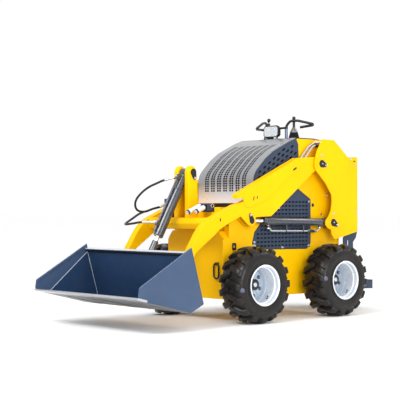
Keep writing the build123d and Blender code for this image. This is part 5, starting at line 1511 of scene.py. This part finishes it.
p = Piece("bucket_hinge_brackets")
for s in (1, -1):
    for y in (ARM_IN - 22, ARM_OUT + 6):
        p.add(flat(rounded([(back_x(170), 170), (back_x(345), 345), (575, 350), (500, 285), (496, 255), (510, 225)], 14, 4, only=(3, 4, 5)), s * y, s * (y + 12), "side", 1.5, [circle(BUCKET_PIVOT, 15.15, 32)]), bucket_paint)
        for yy in (y, y + 12):
            weld(p, [(back_x(175), s * yy, 175), (back_x(342), s * yy, 342)], 2.2, bucket_paint, 3)
    p.add(drum(26, 0, 3.2, (BUCKET_PIVOT[0], s * (ARM_OUT + 17.8), BUCKET_PIVOT[1]), (0, s, 0), 36, 0.8, bore=15.15), bucket_paint)
for s in (1, -1):
    p.add(flat(rounded([(back_x(345), 345), (back_x(462), 462), (590, 450), (545, 440), (530, 420), (535, 395), (560, 375)], 10, 3, only=(3, 4, 5)), s * 30, s * 42, "side", 1.5, [circle(TILT_EYE, 15.1, 32)]), bucket_paint)
    for yy in (30, 42):
        weld(p, [(back_x(350), s * yy, 350), (back_x(458), s * yy, 458)], 2.2, bucket_paint, 7)
p.done("bucket", ["bucket_brackets"])

p = Piece("tilt_eye_pin_ends")
for s in (1, -1):
    p.add(drum(14.95, 0, 15.5, (TILT_EYE[0], s * 30, TILT_EYE[1]), (0, s, 0), 36, 1.4), pin_steel)
    p.add(lathe([(8, 0), (13.5, 0), (14.2, 1.2), (13.5, 2.4), (8, 2.4)], (TILT_EYE[0], s * 42.4, TILT_EYE[1]), (0, s, 0), 24, ring=True), zinc)
p.done("bucket", ["tilt_eye_pins"])

# ---------------------------------------------------------------------------
# Camera, light, floor
# ---------------------------------------------------------------------------
cam = bpy.data.cameras.new("camera")
cam.sensor_width = 36.0
cam.lens = 99.888
cam.clip_end = 200
camera = bpy.data.objects.new("camera", cam)
right = Vector((-0.74881346, 0.66277821, -0.00185678))
up = Vector((0.00401644, 0.00733923, 0.999965))
back = Vector((0.66276864, 0.74877979, -0.00815773))
rot = Matrix((right, up, back)).transposed()
camera.matrix_world = Matrix.Translation((5.28409, 5.68636, 0.75408)) @ rot.to_4x4()
bpy.context.scene.collection.objects.link(camera)
bpy.context.scene.camera = camera

floor_me = bpy.data.meshes.new("floor")
floor_me.from_pydata([(-180, -180, 0), (180, -180, 0), (180, 180, 0), (-180, 180, 0)], [], [(0, 1, 2, 3)])
floor = bpy.data.objects.new("floor", floor_me)
bpy.context.scene.collection.objects.link(floor)
fm = Nodes("floor_finish")
fm.put("Base Color", fm.ramp(fm.noise(0.6, 3, 0.5), [(0.3, (0.955, 0.955, 0.955, 1)), (0.7, (0.980, 0.980, 0.980, 1))]))
fm.put("Roughness", 0.95)
fm.put("Specular IOR Level", 0.1)
floor_me.materials.append(fm.m)

world = bpy.data.worlds.new("studio")
world.use_nodes = True
world.node_tree.nodes["Background"].inputs["Color"].default_value = (1.0, 1.0, 1.0, 1.0)
world.node_tree.nodes["Background"].inputs["Strength"].default_value = 1.03
bpy.context.scene.world = world


def lamp(name, at, to, size, power, colour=(1, 1, 1)):
    d = bpy.data.lights.new(name, "AREA")
    d.shape = "RECTANGLE"
    d.size, d.size_y = size
    d.energy, d.color = power, colour
    o = bpy.data.objects.new(name, d)
    bpy.context.scene.collection.objects.link(o)
    v = Vector(to) - Vector(at)
    o.matrix_world = Matrix.Translation(at) @ v.to_track_quat("-Z", "Y").to_matrix().to_4x4()
    return o


lamp("key", (1.8, 5.4, 1.9), (0.0, 0.0, 0.5), (3.4, 2.4), 142, (1.0, 0.985, 0.96))
lamp("front", (4.6, 0.8, 4.4), (0.2, 0.0, 0.5), (3.0, 1.8), 190, (0.97, 0.985, 1.0))
lamp("strip", (-3.9, 2.5, 4.3), (0.0, 0.2, 0.6), (2.4, 1.0), 45, (1.0, 0.99, 0.97))
scene = bpy.context.scene
scene.view_settings.view_transform = "Standard"
scene.view_settings.look = "None"
